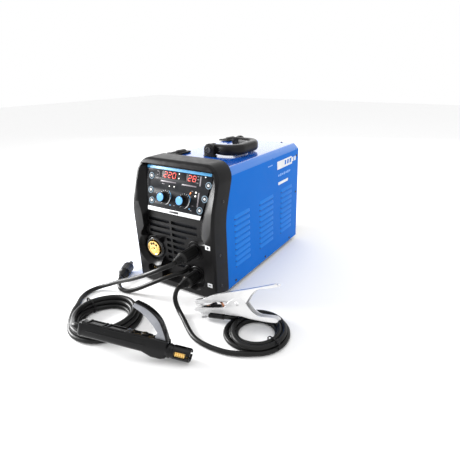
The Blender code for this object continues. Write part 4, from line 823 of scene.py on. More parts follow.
def euro_connector():
    seat = front_axis(EURO_X, FRONT + RECESS, EURO_Z)
    flange = lathe([(0.0210, -0.0055), (0.0210, 0.0030), (0.0220, 0.0048), (0.0240, 0.0060), (0.0268, 0.0058),
                    (0.0292, 0.0040), (0.0300, 0.0015), (0.0300, 0.0003), (0.0222, 0.0003), (0.0222, -0.0055)], 64)
    bm = bmesh.new()
    bm.from_mesh(flange)
    bmesh.ops.delete(bm, geom=[face for face in bm.faces if len(face.verts) > 4], context="FACES_ONLY")
    edges = [edge for edge in bm.edges if edge.is_boundary]
    bmesh.ops.bridge_loops(bm, edges=edges)
    glossy = moulded("gloss_black", (0.010, 0.010, 0.011), (0.007, 0.007, 0.008), 0.16, 1600, 0.03)
    obj = piece("euro_flange_ring", moved(mesh_of(bm), seat), "black_plastic", "machine", 40, glossy)
    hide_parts("euro_flange")
    body = lathe([(0.0001, -0.036), (0.0110, -0.036), (0.0110, -0.022), (0.0203, -0.022), (0.0203, 0.0088),
                  (0.0197, 0.0098),
                  (0.0185, 0.0100), (0.0170, 0.0094), (0.0163, 0.0086), (0.0110, 0.0086), (0.0104, 0.0094),
                  (0.0060, 0.0094),
                  (0.0052, 0.0086), (0.0001, 0.0086)], 64)
    holes = [(0.0, 0.0, 0.0030)] + [(x, y, 0.0026) for x,
                                    y in ((-0.0075, 0.0105), (0.0005, 0.0128), (0.0085, 0.0098))]
    holes.append((-0.0102, -0.0040, 0.0020))
    drills = [moved(lathe([(r, -0.004), (r, 0.02)], 20), Matrix.Translation((x, y, 0))) for x, y, r in holes]
    obj = piece("euro_socket_body", moved(carve(body, *drills), seat), "brass", "machine", 30)
    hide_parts("euro_socket")
    sleeves = []
    for x, y, r in holes[1:4]:
        sleeve = pipe([(x, y, 0.0080), (x, y, 0.0092)], r + 0.0006, 20)
        bore = pipe([(x, y, 0.0040), (x, y, 0.0120)], r - 0.0002, 20)
        sleeves.append(carve(sleeve, bore))
    piece("euro_socket_insulators", moved(merged(*sleeves), seat), "brass", "machine", 30, glossy)


def power_sockets():
    for name, z in (("socket_positive", POSITIVE_Z), ("socket_negative", NEGATIVE_Z)):
        seat = front_axis(SOCKET_X, FRONT + RECESS, z)
        brass = lathe([(0.0066, -0.026), (0.0066, 0.0036), (0.0096, 0.0036), (0.0100, 0.0030), (0.0100, -0.026)], 40)
        bm = bmesh.new()
        bm.from_mesh(brass)
        bmesh.ops.delete(bm, geom=[face for face in bm.faces if len(face.verts) > 4], context="FACES_ONLY")
        bmesh.ops.bridge_loops(bm, edges=[edge for edge in bm.edges if edge.is_boundary])
        obj = piece(f"{name}_contact", moved(mesh_of(bm), seat), "brass", "machine", 30)
        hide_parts(name)
        for part, rows, slot in (("collar", [(0.0104, -0.010), (0.0104, 0.0040), (0.0120, 0.0040), (0.0172, 0.0028),
                                             (0.0178, 0.0020),
                                             (0.0178, 0.0003), (0.0121, 0.0003), (0.0121, -0.010)], "black_plastic"),
                                 ("ring", [(0.0200, 0.0003), (0.0200, 0.0016), (0.0206, 0.0024), (0.0236, 0.0024),
                                           (0.0244, 0.0016),
                                           (0.0244, 0.0003)], "black_plastic")):
            bm = bmesh.new()
            mesh = lathe(rows, 48)
            bm.from_mesh(mesh)
            bmesh.ops.delete(bm, geom=[face for face in bm.faces if len(face.verts) > 4], context="FACES_ONLY")
            bmesh.ops.bridge_loops(bm, edges=[edge for edge in bm.edges if edge.is_boundary])
            piece(f"{name}_{part}", moved(mesh_of(bm), seat), slot, "machine", 30)


def plug_shape(length):
    """A bayonet plug: fluted rubber grip, then a ribbed boot that tapers to the cable."""
    nose = [(0.0001, -0.0235), (0.0044, -0.0235), (0.0060, -0.0215), (0.0060, 0.0002), (0.0125, 0.0002),
            (0.0146, 0.0014)]
    grip = [(PLUG_RADIUS, 0.0040), (PLUG_RADIUS, 0.0070), (PLUG_RADIUS - 0.0002, 0.0080),
            (PLUG_RADIUS - 0.0002, length - 0.0290),
            (PLUG_RADIUS, length - 0.0280), (PLUG_RADIUS - 0.0003, length - 0.0250), (0.0128, length - 0.0215)]
    boot = []
    radius = 0.0118
    for rib in range(4):
        z = length - 0.0200 + 0.0046 * rib
        boot += [(radius, z), (radius, z + 0.0022), (radius - 0.0012, z + 0.0028), (radius - 0.0012, z + 0.0040)]
        radius -= 0.0011
    end = [(0.0074, length - 0.0008), (0.0068, length), (0.0001, length)]
    rows = nose + grip + boot + end
    return lathe(rows, 96, 14, 0.0011, (9, 10)), rows


def plugs():
    face = FRONT + RECESS - 0.0040 - GAP
    along = Vector((math.cos(FREE_PLUG_HEADING), math.sin(FREE_PLUG_HEADING), 0))
    free_seat = Vector(POLARITY_ROUTE[-1]) + (FREE_PLUG_LENGTH + GAP) * along
    turn = (-along).to_track_quat("Z", "Y").to_matrix().to_4x4()
    places = {
        "electrode_plug": (face - ELECTRODE_ROUTE[0][1] - GAP, front_axis(SOCKET_X, face, POSITIVE_Z)),
        "earth_plug": (face - EARTH_ROUTE[0][1] - GAP, front_axis(SOCKET_X, face, NEGATIVE_Z)),
        "polarity_plug": (FREE_PLUG_LENGTH, Matrix.Translation(free_seat) @ turn),
    }
    for name, (length, place) in places.items():
        shape, _ = plug_shape(length)
        obj = piece(f"{name}_boot", moved(shape, place), "rubber", "machine", 40)
        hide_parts(name)
        stripe = lathe([(PLUG_RADIUS - 0.0009, 0.0048), (PLUG_RADIUS + 0.00012, 0.0049),
                        (PLUG_RADIUS + 0.00012, 0.0062),
                        (PLUG_RADIUS - 0.0009, 0.0063)], 48)
        piece(f"{name}_band", moved(stripe, place), "rubber", "machine", 40, INKS["dark"])


def round_gland():
    shape = lathe([(0.0062, -0.010), (0.0072, -0.010), (0.0072, 0.0003), (0.0100, 0.0003), (0.0100, 0.0034),
                   (0.0094, 0.0040),
                   (0.0094, 0.0070), (0.0086, 0.0080), (0.0062, 0.0080)], 60, 10, 0.0007, (5, 6))
    obj = piece("polarity_gland_nut", moved(shape, front_axis(GLAND_X, FRONT + RECESS, GLAND_Z)), "black_plastic",
                "machine", 30)
    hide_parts("polarity_gland")


def control_socket():
    """A small round socket in the pocket under the torch socket."""
    place = front_axis(-0.0800, FRONT + 0.012, 0.0440)
    shell = lathe([(0.0001, 0.0), (0.0098, 0.0), (0.0098, 0.0050), (0.0090, 0.0058), (0.0082, 0.0058),
                   (0.0078, 0.0050),
                   (0.0078, 0.0016), (0.0001, 0.0016)], 48)
    pins = [pipe([(x, y, 0.0010), (x, y, 0.0044)], 0.0009, 12) for x, y in ((-0.003, 0.0), (0.003, 0.0))]
    piece("control_socket_shell", moved(shell, place), "black_plastic", "machine", 30)
    piece("control_socket_pins", moved(merged(*pins), place), "brass", "machine", 30)



# ---------------------------------------------------------------- casing

SHEET = 0.0015
SEAM_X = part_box("feeder_door")[1].x
DOOR_EASE, EASE_START, EASE_FULL = 0.0038, 0.245, 0.300
HINGE_AXIS_Z = 0.3237
EAR_THICKNESS = 0.0120
LOUVRE_ROWS, LOUVRE_FIRST_Z, LOUVRE_PITCH = 9, 0.062, 0.0165
LOUVRE_BANKS = ((-0.1515, -0.0780), (-0.0270, 0.0535), (0.1010, 0.1765))


def side_axis(sign, y, z):
    """Local Z points out of a side wall, local Y up."""
    turn = Matrix(((0, 0, sign), (sign, 0, 0), (0, 1, 0))).to_4x4()
    return Matrix.Translation((sign * HALF_WIDTH, y, z)) @ turn


def sheet_path(start_x):
    """Across the top, over the soft-cornered chamfer and down the side: (x, z) for the +X side."""
    outer, shoulder, foot = HALF_WIDTH, CASE_TOP - CHAMFER, CASE_BOTTOM + 0.0005
    soft, slope = 0.0035, 0.0025
    corners = [((outer - CHAMFER - soft, CASE_TOP), (outer - CHAMFER, CASE_TOP),
                (outer - CHAMFER + slope, CASE_TOP - slope)),
               ((outer - slope, shoulder + slope), (outer, shoulder), (outer, shoulder - soft))]
    points = [(start_x, CASE_TOP)]
    for a, b, c in corners:
        for step in range(6):
            t = step / 5
            points.append(tuple((1 - t) ** 2 * p + 2 * t * (1 - t) * q + t * t * r for p, q, r in zip(a, b, c)))
    z = shoulder - soft - 0.004
    while z > foot + 0.003:
        points.append((outer, z))
        z -= 0.004 if z > LEAN_START else 0.03
    points.append((outer, foot))
    return points


def folded_sheet(start_x, sign=1, ease=0.0):
    path = [Vector(point) for point in sheet_path(start_x)]
    inner = []
    for i, point in enumerate(path):
        along = (path[min(i + 1, len(path) - 1)] - path[max(i - 1, 0)]).normalized()
        inner.append(point + SHEET * Vector((along.y, -along.x)))
    outline = path + inner[::-1]

    def edge(z):
        share = min(max((z - EASE_START) / (EASE_FULL - EASE_START), 0.0), 1.0)
        return JOINT + GAP + bow(z) + ease * share

    rings = [[(sign * point.x, edge(point.y), point.y) for point in outline],
             [(sign * point.x, CASE_END, point.y) for point in outline]]
    return loft(rings)


def paint_sheet(obj):
    """The top faces carry more of the clear gloss than the sides, and a darker blue as painted shade; the chamfer's
    bends carry a lighter blue as painted highlight.
    """
    obj.data.materials.append(SHADED_TOP_PAINT)
    obj.data.materials.append(LIT_BEND_PAINT)
    for face in obj.data.polygons:
        face.material_index = 1 if face.normal.z > 0.9 else 2 if face.normal.z > 0.3 else 0


def casing():
    cover = piece("cover_sheet", folded_sheet(SEAM_X + GAP), "blue_paint", "machine", 30)
    paint_sheet(cover)
    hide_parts("cover_shell")
    door = piece("door_sheet", folded_sheet(-SEAM_X, -1, DOOR_EASE), "blue_paint", "feeder_door", 30)
    paint_sheet(door)
    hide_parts("feeder_door")
    rows = [LOUVRE_FIRST_Z + LOUVRE_PITCH * row for row in range(LOUVRE_ROWS)]
    profile = [(-0.0004, 0.0072), (0.0001, 0.0070), (0.0008, 0.0056), (0.0019, 0.0026), (0.0028, -0.0004),
               (0.0030, -0.0018),
               (0.0024, -0.0024), (-0.0004, -0.0024)]
    for number, (start, end) in enumerate(LOUVRE_BANKS, 1):
        hoods, slit_shades = [], []
        for z in rows:
            rings = []
            for y, share in ((start, 0.02), (start + 0.0010, 0.40), (start + 0.0030, 0.78), (start + 0.0060, 1.0),
                             (end - 0.0060, 1.0), (end - 0.0030, 0.78), (end - 0.0010, 0.40), (end, 0.02)):
                rings.append([(HALF_WIDTH - 0.0001 + out * (share if out > 0 else 1), y,
                               z + 0.0008 + (up - 0.0008) * (0.55 + 0.45 * share))
                              for out, up in profile])
            hoods.append(loft(rings))
            # Thin dark plates under each hood and at its end are painted shade for the openings under the hoods.
            slit_shades.append(flat(rounded((start + end) / 2, z - 0.0034, end - start - 0.0050, 0.0020, 0.0006, 2),
                              0.00012,
                              side_axis(1, 0, 0)))
            slit_shades.append(flat(rounded(start + 0.0022, z - 0.0028, 0.0036, 0.0036, 0.0010, 3), 0.00013,
                              side_axis(1, 0, 0)))
        # The hoods are painted a lighter blue than the side wall as painted highlight.
        piece(f"louvre_bank_{number}", merged(*hoods), "blue_paint", "machine", 40, LIT_HOOD_PAINT)
        piece(f"louvre_slit_shades_{number}", merged(*slit_shades), "blue_paint", "machine", 40, INKS["shadow"])
    panel = flat(rounded(0.020, 0.165, 0.300, 0.200, 0.012, 6), 0.0012,
                 side_axis(-1, 0, 0) @ Matrix.Scale(-1, 4, (1, 0, 0)),
                 bevel=0.0005, segments=3)
    piece("door_pressing", panel, "blue_paint", "feeder_door", 30)


def side_marks():
    """Plain white blocks and bars stand in for the lettering on the side."""
    place = side_axis(1, 0, 0)
    plate = [(0.0780, 0.2660), (0.1750, 0.2660), (0.1710, 0.2895), (0.0765, 0.2895)]
    holes = [slanted_bar(0.0960 + 0.0165 * i, 0.2785, 0.0100, 0.0130, 0.12) for i in range(5)]
    plate_mesh = flat(plate, 0.0002, place, holes)
    bars = [flat([(0.0850, 0.2188), (0.1468, 0.2188), (0.1494, 0.2270), (0.0850, 0.2270)], 0.0002, place)]
    piece("mark_block", merged(plate_mesh, *bars), "blue_paint", "machine", finish=INKS["white"])
    thin = [slanted_bar(0.0880 + 0.0118 * i, 0.2475, 0.0085, 0.0075 if i % 2 else 0.0050, 0.15) for i in range(7)]
    thin = [[(u - 0.15 * 0.2475, v) for u, v in bar_] for bar_ in thin]
    thin.append(slanted_bar(0.0350, 0.2862, 0.0260, 0.0028))
    piece("mark_line", merged(*[flat(bar_, 0.0002, place) for bar_ in thin]), "blue_paint", "machine",
          finish=INKS["pale_blue"])


def screws():
    head = screw(0.0036, Matrix())
    spots = {"machine": [], "feeder_door": []}
    for y, z in ((-0.1528, 0.021), (0.0058, 0.0201), (0.1667, 0.0191), (0.2058, 0.1671), (0.2058, 0.2850)):
        spots["machine"].append(side_axis(1, y, z))
    for y, z in ((-0.1960, 0.2519), (-0.2186, 0.1225), (-0.2186, 0.0400)):
        for sign in (1, -1):
            spots["machine"].append(Matrix.Translation((sign * (BEZEL_HALF - HALF_WIDTH), 0, 0)) @ side_axis(sign, y,
                    z))
    for x in (0.0712, -0.0700):
        spots["machine"].append(Matrix.Translation((x, 0.2100, CASE_TOP)))
    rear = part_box("rear_panel")[1].y
    back = Matrix.Rotation(-math.pi / 2, 4, "X")
    for x, z in ((-0.108, 0.30), (0.108, 0.30), (-0.108, 0.03), (0.108, 0.03), (0.0015, 0.1225), (0.1065, 0.1225),
                 (0.0015, 0.2275),
                 (0.1065, 0.2275)):
        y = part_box("fan_frame")[1].y + 0.0022 if abs(x) < 0.107 and x > 0 else rear
        spots["machine"].append(Matrix.Translation((x, y, z)) @ back)
    for y, z in ((-0.150, 0.022), (0.195, 0.022)):
        spots["feeder_door"].append(side_axis(-1, y, z))
    for body, places in spots.items():
        copies = []
        for place in places:
            copy = head.copy()
            copies.append(moved(copy, place))
        piece(f"screws_{body}", merged(*copies), "black_metal", body, 30)


# ---------------------------------------------------------------- handle and hinges

def oval_sweep(points, widths, heights, sides=32, power=3.0):
    """A soft-cornered oval section along a level path."""
    points = [Vector(point) for point in points]
    rings = []
    for i, point in enumerate(points):
        along = (points[min(i + 1, len(points) - 1)] - points[max(i - 1, 0)]).normalized()
        side = along.cross(Vector((0, 0, 1))).normalized()
        ring = []
        for k in range(sides):
            c, d = math.cos(2 * math.pi * k / sides), math.sin(2 * math.pi * k / sides)
            c, d = math.copysign(abs(c) ** (2 / power), c), math.copysign(abs(d) ** (2 / power), d)
            ring.append(point + widths[i] * c * side + heights[i] * d * Vector((0, 0, 1)))
        rings.append(ring)
    return loft(rings)


def handle():
    axis_z, reach, span, corner = HANDLE_AXIS_Z, 0.0700, HANDLE_HALF_SPAN, 0.034
    path = [(0.0020, HANDLE_Y - span), (0.0120, HANDLE_Y - span), (0.0220, HANDLE_Y - span)]
    path += arc((reach - corner, HANDLE_Y - span + corner), corner, -90, 0, 11)
    path += [(reach, HANDLE_Y - 0.012), (reach, HANDLE_Y), (reach, HANDLE_Y + 0.012)]
    path += arc((reach - corner, HANDLE_Y + span - corner), corner, 0, 90, 11)
    path += [(0.0220, HANDLE_Y + span), (0.0120, HANDLE_Y + span), (0.0020, HANDLE_Y + span)]
    count = len(path)
    widths, heights = [], []
    for i in range(count):
        middle = 1 - abs(2 * i / (count - 1) - 1)
        widths.append(0.0081 + 0.0047 * ease(middle * 4))
        heights.append(0.0130 + 0.0012 * ease(middle * 4))
    grip = oval_sweep([(x, y, axis_z) for x, y in path], widths, heights)
    hubs = []
    for side in (-1, 1):
        y = HANDLE_Y + side * span
        rows = [(0.0001, -0.0082), (0.0128, -0.0082), (0.0144, -0.0068), (0.0146, -0.0050), (0.0146, 0.0050),
                (0.0144, 0.0068),
                (0.0128, 0.0082), (0.0001, 0.0082)]
        hubs.append(moved(lathe(rows, 44), front_axis(0, y, axis_z)))
    obj = piece("handle_grip_moulding", merged(grip, *hubs), "black_plastic", "carry_handle", 40, SOFT_BLACK)
    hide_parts("carry_handle")
    low = CASE_TOP + GAP
    for name, side in (("handle_bracket_front", -1), ("handle_bracket_rear", 1)):
        near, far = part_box(name)[0].y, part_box(name)[1].y
        outer = near if side < 0 else far
        outline = arc((0, axis_z), 0.0158, -8, 188, 27)
        outline += [(-0.0162, low + 0.0060), (-0.0170, low + 0.0020), (-0.0172, low), (0.0172, low),
                    (0.0170, low + 0.0020),
                    (0.0162, low + 0.0060)]
        start = outer + EAR_THICKNESS if side < 0 else outer
        ear = flat(outline, EAR_THICKNESS, front_axis(0, start, 0), bevel=0.0022, segments=4)
        foot = block((-0.0185, min(outer, outer - side * 0.014), low),
                     (0.0185, max(outer, outer - side * 0.014), low + 0.0040), 0.0014)
        obj = piece(f"{name}_ear", merged(ear, foot), "black_plastic", "machine", 35, SOFT_BLACK)
        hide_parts(name)
        bolt = lathe([(0.0001, -0.001), (0.0078, -0.001), (0.0078, 0.0010), (0.0070, 0.0018), (0.0052, 0.0018),
                      (0.0046, 0.0006),
                      (0.0001, 0.0006)], 40)
        piece(f"{name}_bolt", moved(bolt, front_axis(0, start - EAR_THICKNESS, axis_z)), "black_metal", "machine", 30)
    ring = lathe([(0.0001, 0.0), (0.0100, 0.0), (0.0100, 0.0008), (0.0092, 0.0014), (0.0076, 0.0014),
                  (0.0068, 0.0005),
                  (0.0001, 0.0005)], 40)
    piece("handle_rear_boss", moved(ring, front_axis(0, HANDLE_Y + span - 0.0080, axis_z)), "black_plastic",
          "carry_handle", 30)


def hinges():
    for name in ("door_hinge_front", "door_hinge_rear"):
        low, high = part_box(name)
        top = CASE_TOP + GAP
        start, end = low.y, high.y
        foot = block((SEAM_X + 0.0012, start, top), (high.x + 0.003, end, top + 0.0048), 0.0012)
        hump = flat([(-0.0996, top + 0.004), (-0.0850, top + 0.004), (-0.0880, top + 0.0085), (-0.0930, top + 0.0105),
                     (-0.0985, top + 0.0100)], end - start - 0.022, front_axis(0, end - 0.011, 0), bevel=0.0010)
        barrel = pipe([(SEAM_X, start + 0.014, HINGE_AXIS_Z), (SEAM_X, end - 0.014, HINGE_AXIS_Z)], 0.0031, 20)
        obj = piece(f"{name}_body", merged(foot, hump, barrel), "black_plastic", "machine", 35)
        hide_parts(name)
        pads = [block((-0.1225, y0, top), (SEAM_X - 0.0012, y1, top + 0.0044), 0.0012)
                for y0, y1 in ((start + 0.002, start + 0.0135), (end - 0.0135, end - 0.002))]
        tongue = block((-0.1225, start + 0.002, top), (SEAM_X - 0.0040, end - 0.002, top + 0.0030), 0.0010)
        knuckles = [pipe([(SEAM_X, y0, HINGE_AXIS_Z), (SEAM_X, y1, HINGE_AXIS_Z)], 0.0031, 20)
                    for y0, y1 in ((start + 0.002, start + 0.0135), (end - 0.0135, end - 0.002))]
        piece(f"{name}_leaf", merged(*pads, tongue, *knuckles), "black_plastic", "feeder_door", 35)


# ---------------------------------------------------------------- wire spool

def wire_spool():
    """Moulded flanges with windows, and the level-wound wire between them."""
    low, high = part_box("wire_spool")
    hub_low, hub_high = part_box("spool_hub")
    radius, width = (high.y - low.y) / 2, high.x - low.x
    bore = min((hub_high.y - hub_low.y) / 2 + 0.0005, 0.030)
    place = side_axis(-1, (low.y + high.y) / 2, (low.z + high.z) / 2) @ Matrix.Translation((0, 0,
            -high.x - HALF_WIDTH))
    core, rim = 0.046, 0.003
    flanges = []
    windows = [[(a * math.cos(t), a * math.sin(t)) for a, t in
                [(0.058, math.radians(60 * k + 8)), (0.058, math.radians(60 * k + 30)),
                 (0.058, math.radians(60 * k + 52)),
                 (0.084, math.radians(60 * k + 52)), (0.084, math.radians(60 * k + 30)),
                 (0.084, math.radians(60 * k + 8))]]
               for k in range(6)]
    for start in (0.0, width - rim):
        disc = flat(circle((0, 0), radius - 0.0003, 96), rim, Matrix.Translation((0, 0, start)),
                    [circle((0, 0), bore, 48), *windows],
                    bevel=0.0006)
        flanges.append(disc)
    barrel = lathe([(core, rim), (core, width - rim), (bore, width - rim), (bore, rim), (core, rim)], 64)
    obj = piece("spool_flanges", moved(merged(*flanges, barrel), place), "spool_plastic", "wire_spool", 35)
    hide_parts("wire_spool")
    turns, pack = 46, 0.0880
    pitch = (width - 2 * rim - 0.0010) / turns
    profile = [(core + 0.0004, rim + 0.0005)]
    for turn in range(turns):
        start = rim + 0.0005 + turn * pitch
        profile += [(pack - 0.0006, start + 0.02 * pitch), (pack, start + 0.3 * pitch), (pack, start + 0.7 * pitch),
                    (pack - 0.0006, start + 0.98 * pitch)]
    profile += [(core + 0.0004, width - rim - 0.0005), (core + 0.0004, rim + 0.0005)]
    piece("spool_windings", moved(lathe(profile, 72), place), "wire_pack", "wire_spool", 60)


# ---------------------------------------------------------------- electrode holder

def spring(start, end, radius, turns, wire):
    start, end = Vector(start), Vector(end)
    along = (end - start).normalized()
    side = along.orthogonal().normalized()
    up = along.cross(side)
    points = []
    for step in range(int(turns * 12) + 1):
        angle = 2 * math.pi * step / 12
        points.append(start.lerp(end, step / (turns * 12)) + radius * (math.cos(angle) * side + math.sin(angle) * up))
    return pipe(points, wire, 8)


def section_ring(s, low, high, half, radius, count=5):
    """A rounded rectangle across the tool at s."""
    middle, height = (low + high) / 2, high - low
    return [(s, t, w) for t, w in rounded(middle, 0.0, height, 2 * half, radius, count)]


def holder():
    stations = [(-0.0040, -0.0065, 0.0175, 0.0095, 0.0060), (-0.0020, -0.0090, 0.0210, 0.0120, 0.0080),
                (0.0030, -0.0098, 0.0225, 0.0135, 0.0085), (0.0060, -0.0090, 0.0215, 0.0128, 0.0085),
                (0.0090, -0.0090, 0.0215, 0.0128, 0.0085), (0.0120, -0.0094, 0.0220, 0.0132, 0.0085),
                (0.0700, -0.0094, 0.0212, 0.0128, 0.0085), (0.1340, -0.0098, 0.0218, 0.0132, 0.0080),
                (0.1480, -0.0128, 0.0222, 0.0136, 0.0060), (0.1560, -0.0145, 0.0238, 0.0140, 0.0050),
                (0.1760, -0.0143, 0.0238, 0.0140, 0.0050), (0.1835, -0.0120, 0.0225, 0.0132, 0.0055),
                (0.1852, -0.0090, 0.0190, 0.0110, 0.0050)]
    body = loft([section_ring(*station) for station in stations])
    slot = block((0.1530, 0.0040, -0.0083), (0.1905, 0.05, 0.0083))
    body = carve(body, slot)
    rails = []
    for side in (-1, 1):
        rails.append(bar((0.012, 0.0216, side * 0.0088), (0.146, 0.0220, side * 0.0092), 0.0028, 0.0030, 0.0008))
        rails.append(bar((0.016, 0.0060, side * 0.0127), (0.142, 0.0060, side * 0.0130), 0.0030, 0.0020, 0.0006))
    for s in (0.0150, 0.0480, 0.0560, 0.0980, 0.1060):
        rails.append(block((s - 0.0018, 0.0190, -0.0105), (s + 0.0018, 0.0242, 0.0105), 0.0010))
    collar = [block((0.0935, 0.0195, -0.0112), (0.1125, 0.0236, 0.0112), 0.0014)]
    mesh = moved(merged(body, *rails, *collar), HOLDER)
    obj = piece("holder_handle", mesh, "black_plastic", "machine", 35, GLOSS_BLACK)
    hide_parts("holder_body")
    rows = [(0.0001, 0.1830), (0.0138, 0.1830), (0.0145, 0.1840), (0.0145, 0.1905), (0.0132, 0.1915),
            (0.0132, 0.1965),
            (0.0140, 0.1975), (0.0140, 0.2300), (0.0132, 0.2328), (0.0112, 0.2330), (0.0104, 0.2300),
            (0.0001, 0.2290)]
    along = Matrix(((0, 0, 1), (1, 0, 0), (0, 1, 0))).to_4x4()
    head = moved(lathe(rows, 56), Matrix.Translation((0, 0.003, 0)) @ along)
    cuts = [block((0.2010, -0.0026, 0.0040), (0.2240, 0.0086, 0.03)),
            block((0.2230, -0.02, -0.0022), (0.2400, 0.03, 0.0022)),
            block((0.2260, 0.0008, -0.03), (0.2400, 0.0052, 0.03)),
            block((0.2000, 0.0120, -0.0045), (0.2180, 0.03, 0.0045))]
    piece("holder_head", moved(carve(head, *cuts), HOLDER), "black_plastic", "machine", 35, GLOSS_BLACK)
    teeth = [block((0.2025 + 0.0042 * i, -0.0018, 0.0030), (0.2052 + 0.0042 * i, 0.0078, 0.0112),
                   0.0006) for i in range(5)]
    core = block((0.2000, -0.0022, -0.0040), (0.2270, 0.0082, 0.0085), 0.0008)
    piece("holder_jaws", moved(merged(core, *teeth), HOLDER), "brass", "machine", 35)
    outer = [(0.104, 0.0860), (0.1275, 0.0805), (0.1475, 0.0705), (0.1625, 0.0575), (0.1745, 0.0390), (0.184, 0.0205)]
    fine = [(p.x, p.y) for p in smooth_route([(*outer[0], 0), *[(*q, 0) for q in outer], (*outer[-1], 0)], 24)[1:-1]]
    inside = []
    for i, (u, v) in enumerate(fine):
        a, b = Vector(fine[max(i - 1, 0)]), Vector(fine[min(i + 1, len(fine) - 1)])
        along_edge = (b - a).normalized()
        inside.append((u + 0.0032 * along_edge.y, v - 0.0032 * along_edge.x))
    strap = flat(fine + inside[::-1], 0.0160, Matrix.Translation((0, 0, -0.0080)), bevel=0.0008)
    obj = piece("holder_lever_strap", moved(strap, HOLDER), "black_plastic", "holder_lever", 35, GLOSS_BLACK)
    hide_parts("holder_lever")
    belly = [(0.1845, 0.0090), (0.1735, 0.0075), (0.1640, 0.0110), (0.1560, 0.0255), (0.1590, 0.0340),
             (0.1480, 0.0455), (0.1320, 0.0580), (0.1180, 0.0670), (0.0995, 0.0745)]
    core = flat([(u + 0.0004, v) for u, v in inside] + belly, 0.0124, Matrix.Translation((0, 0, -0.0062)),
                bevel=0.0010)
    piece("holder_lever_core", moved(core, HOLDER), "zinc_steel", "holder_lever", 35, LEVER_GREY)
    knob_rows = [(0.0001, 0.0), (0.0072, 0.0), (0.0072, 0.0034), (0.0062, 0.0044), (0.0001, 0.0046)]
    up_axis = Matrix(((1, 0, 0), (0, 0, 1), (0, -1, 0))).to_4x4()
    knob_mesh = moved(lathe(knob_rows, 48, 12, 0.0007, (1, 2)), Matrix.Translation((0.1330, 0.0220, 0)) @ up_axis)
    piece("holder_set_screw", moved(knob_mesh, HOLDER), "black_plastic", "machine", 35, GLOSS_BLACK)


# ---------------------------------------------------------------- earth clamp

def pressed_arm(outline, spine, width):
    """Two side plates joined by a sheet that follows the spine."""
    half = width / 2
    plates = [flat(outline, SHEET, Matrix.Translation((0, 0, w)), bevel=0.0004) for w in (-half, half - SHEET)]
    rings = []
    for i, (u, v) in enumerate(spine):
        a, b = Vector(spine[max(i - 1, 0)]), Vector(spine[min(i + 1, len(spine) - 1)])
        along = (b - a).normalized()
        inward = Vector((-along.y, along.x)) * SHEET
        rings.append([(u, v, half - 0.0004), (u, v, 0.0004 - half), (u + inward.x, v + inward.y, 0.0004 - half),
                      (u + inward.x, v + inward.y, half - 0.0004)])
    return merged(*plates, loft(rings))


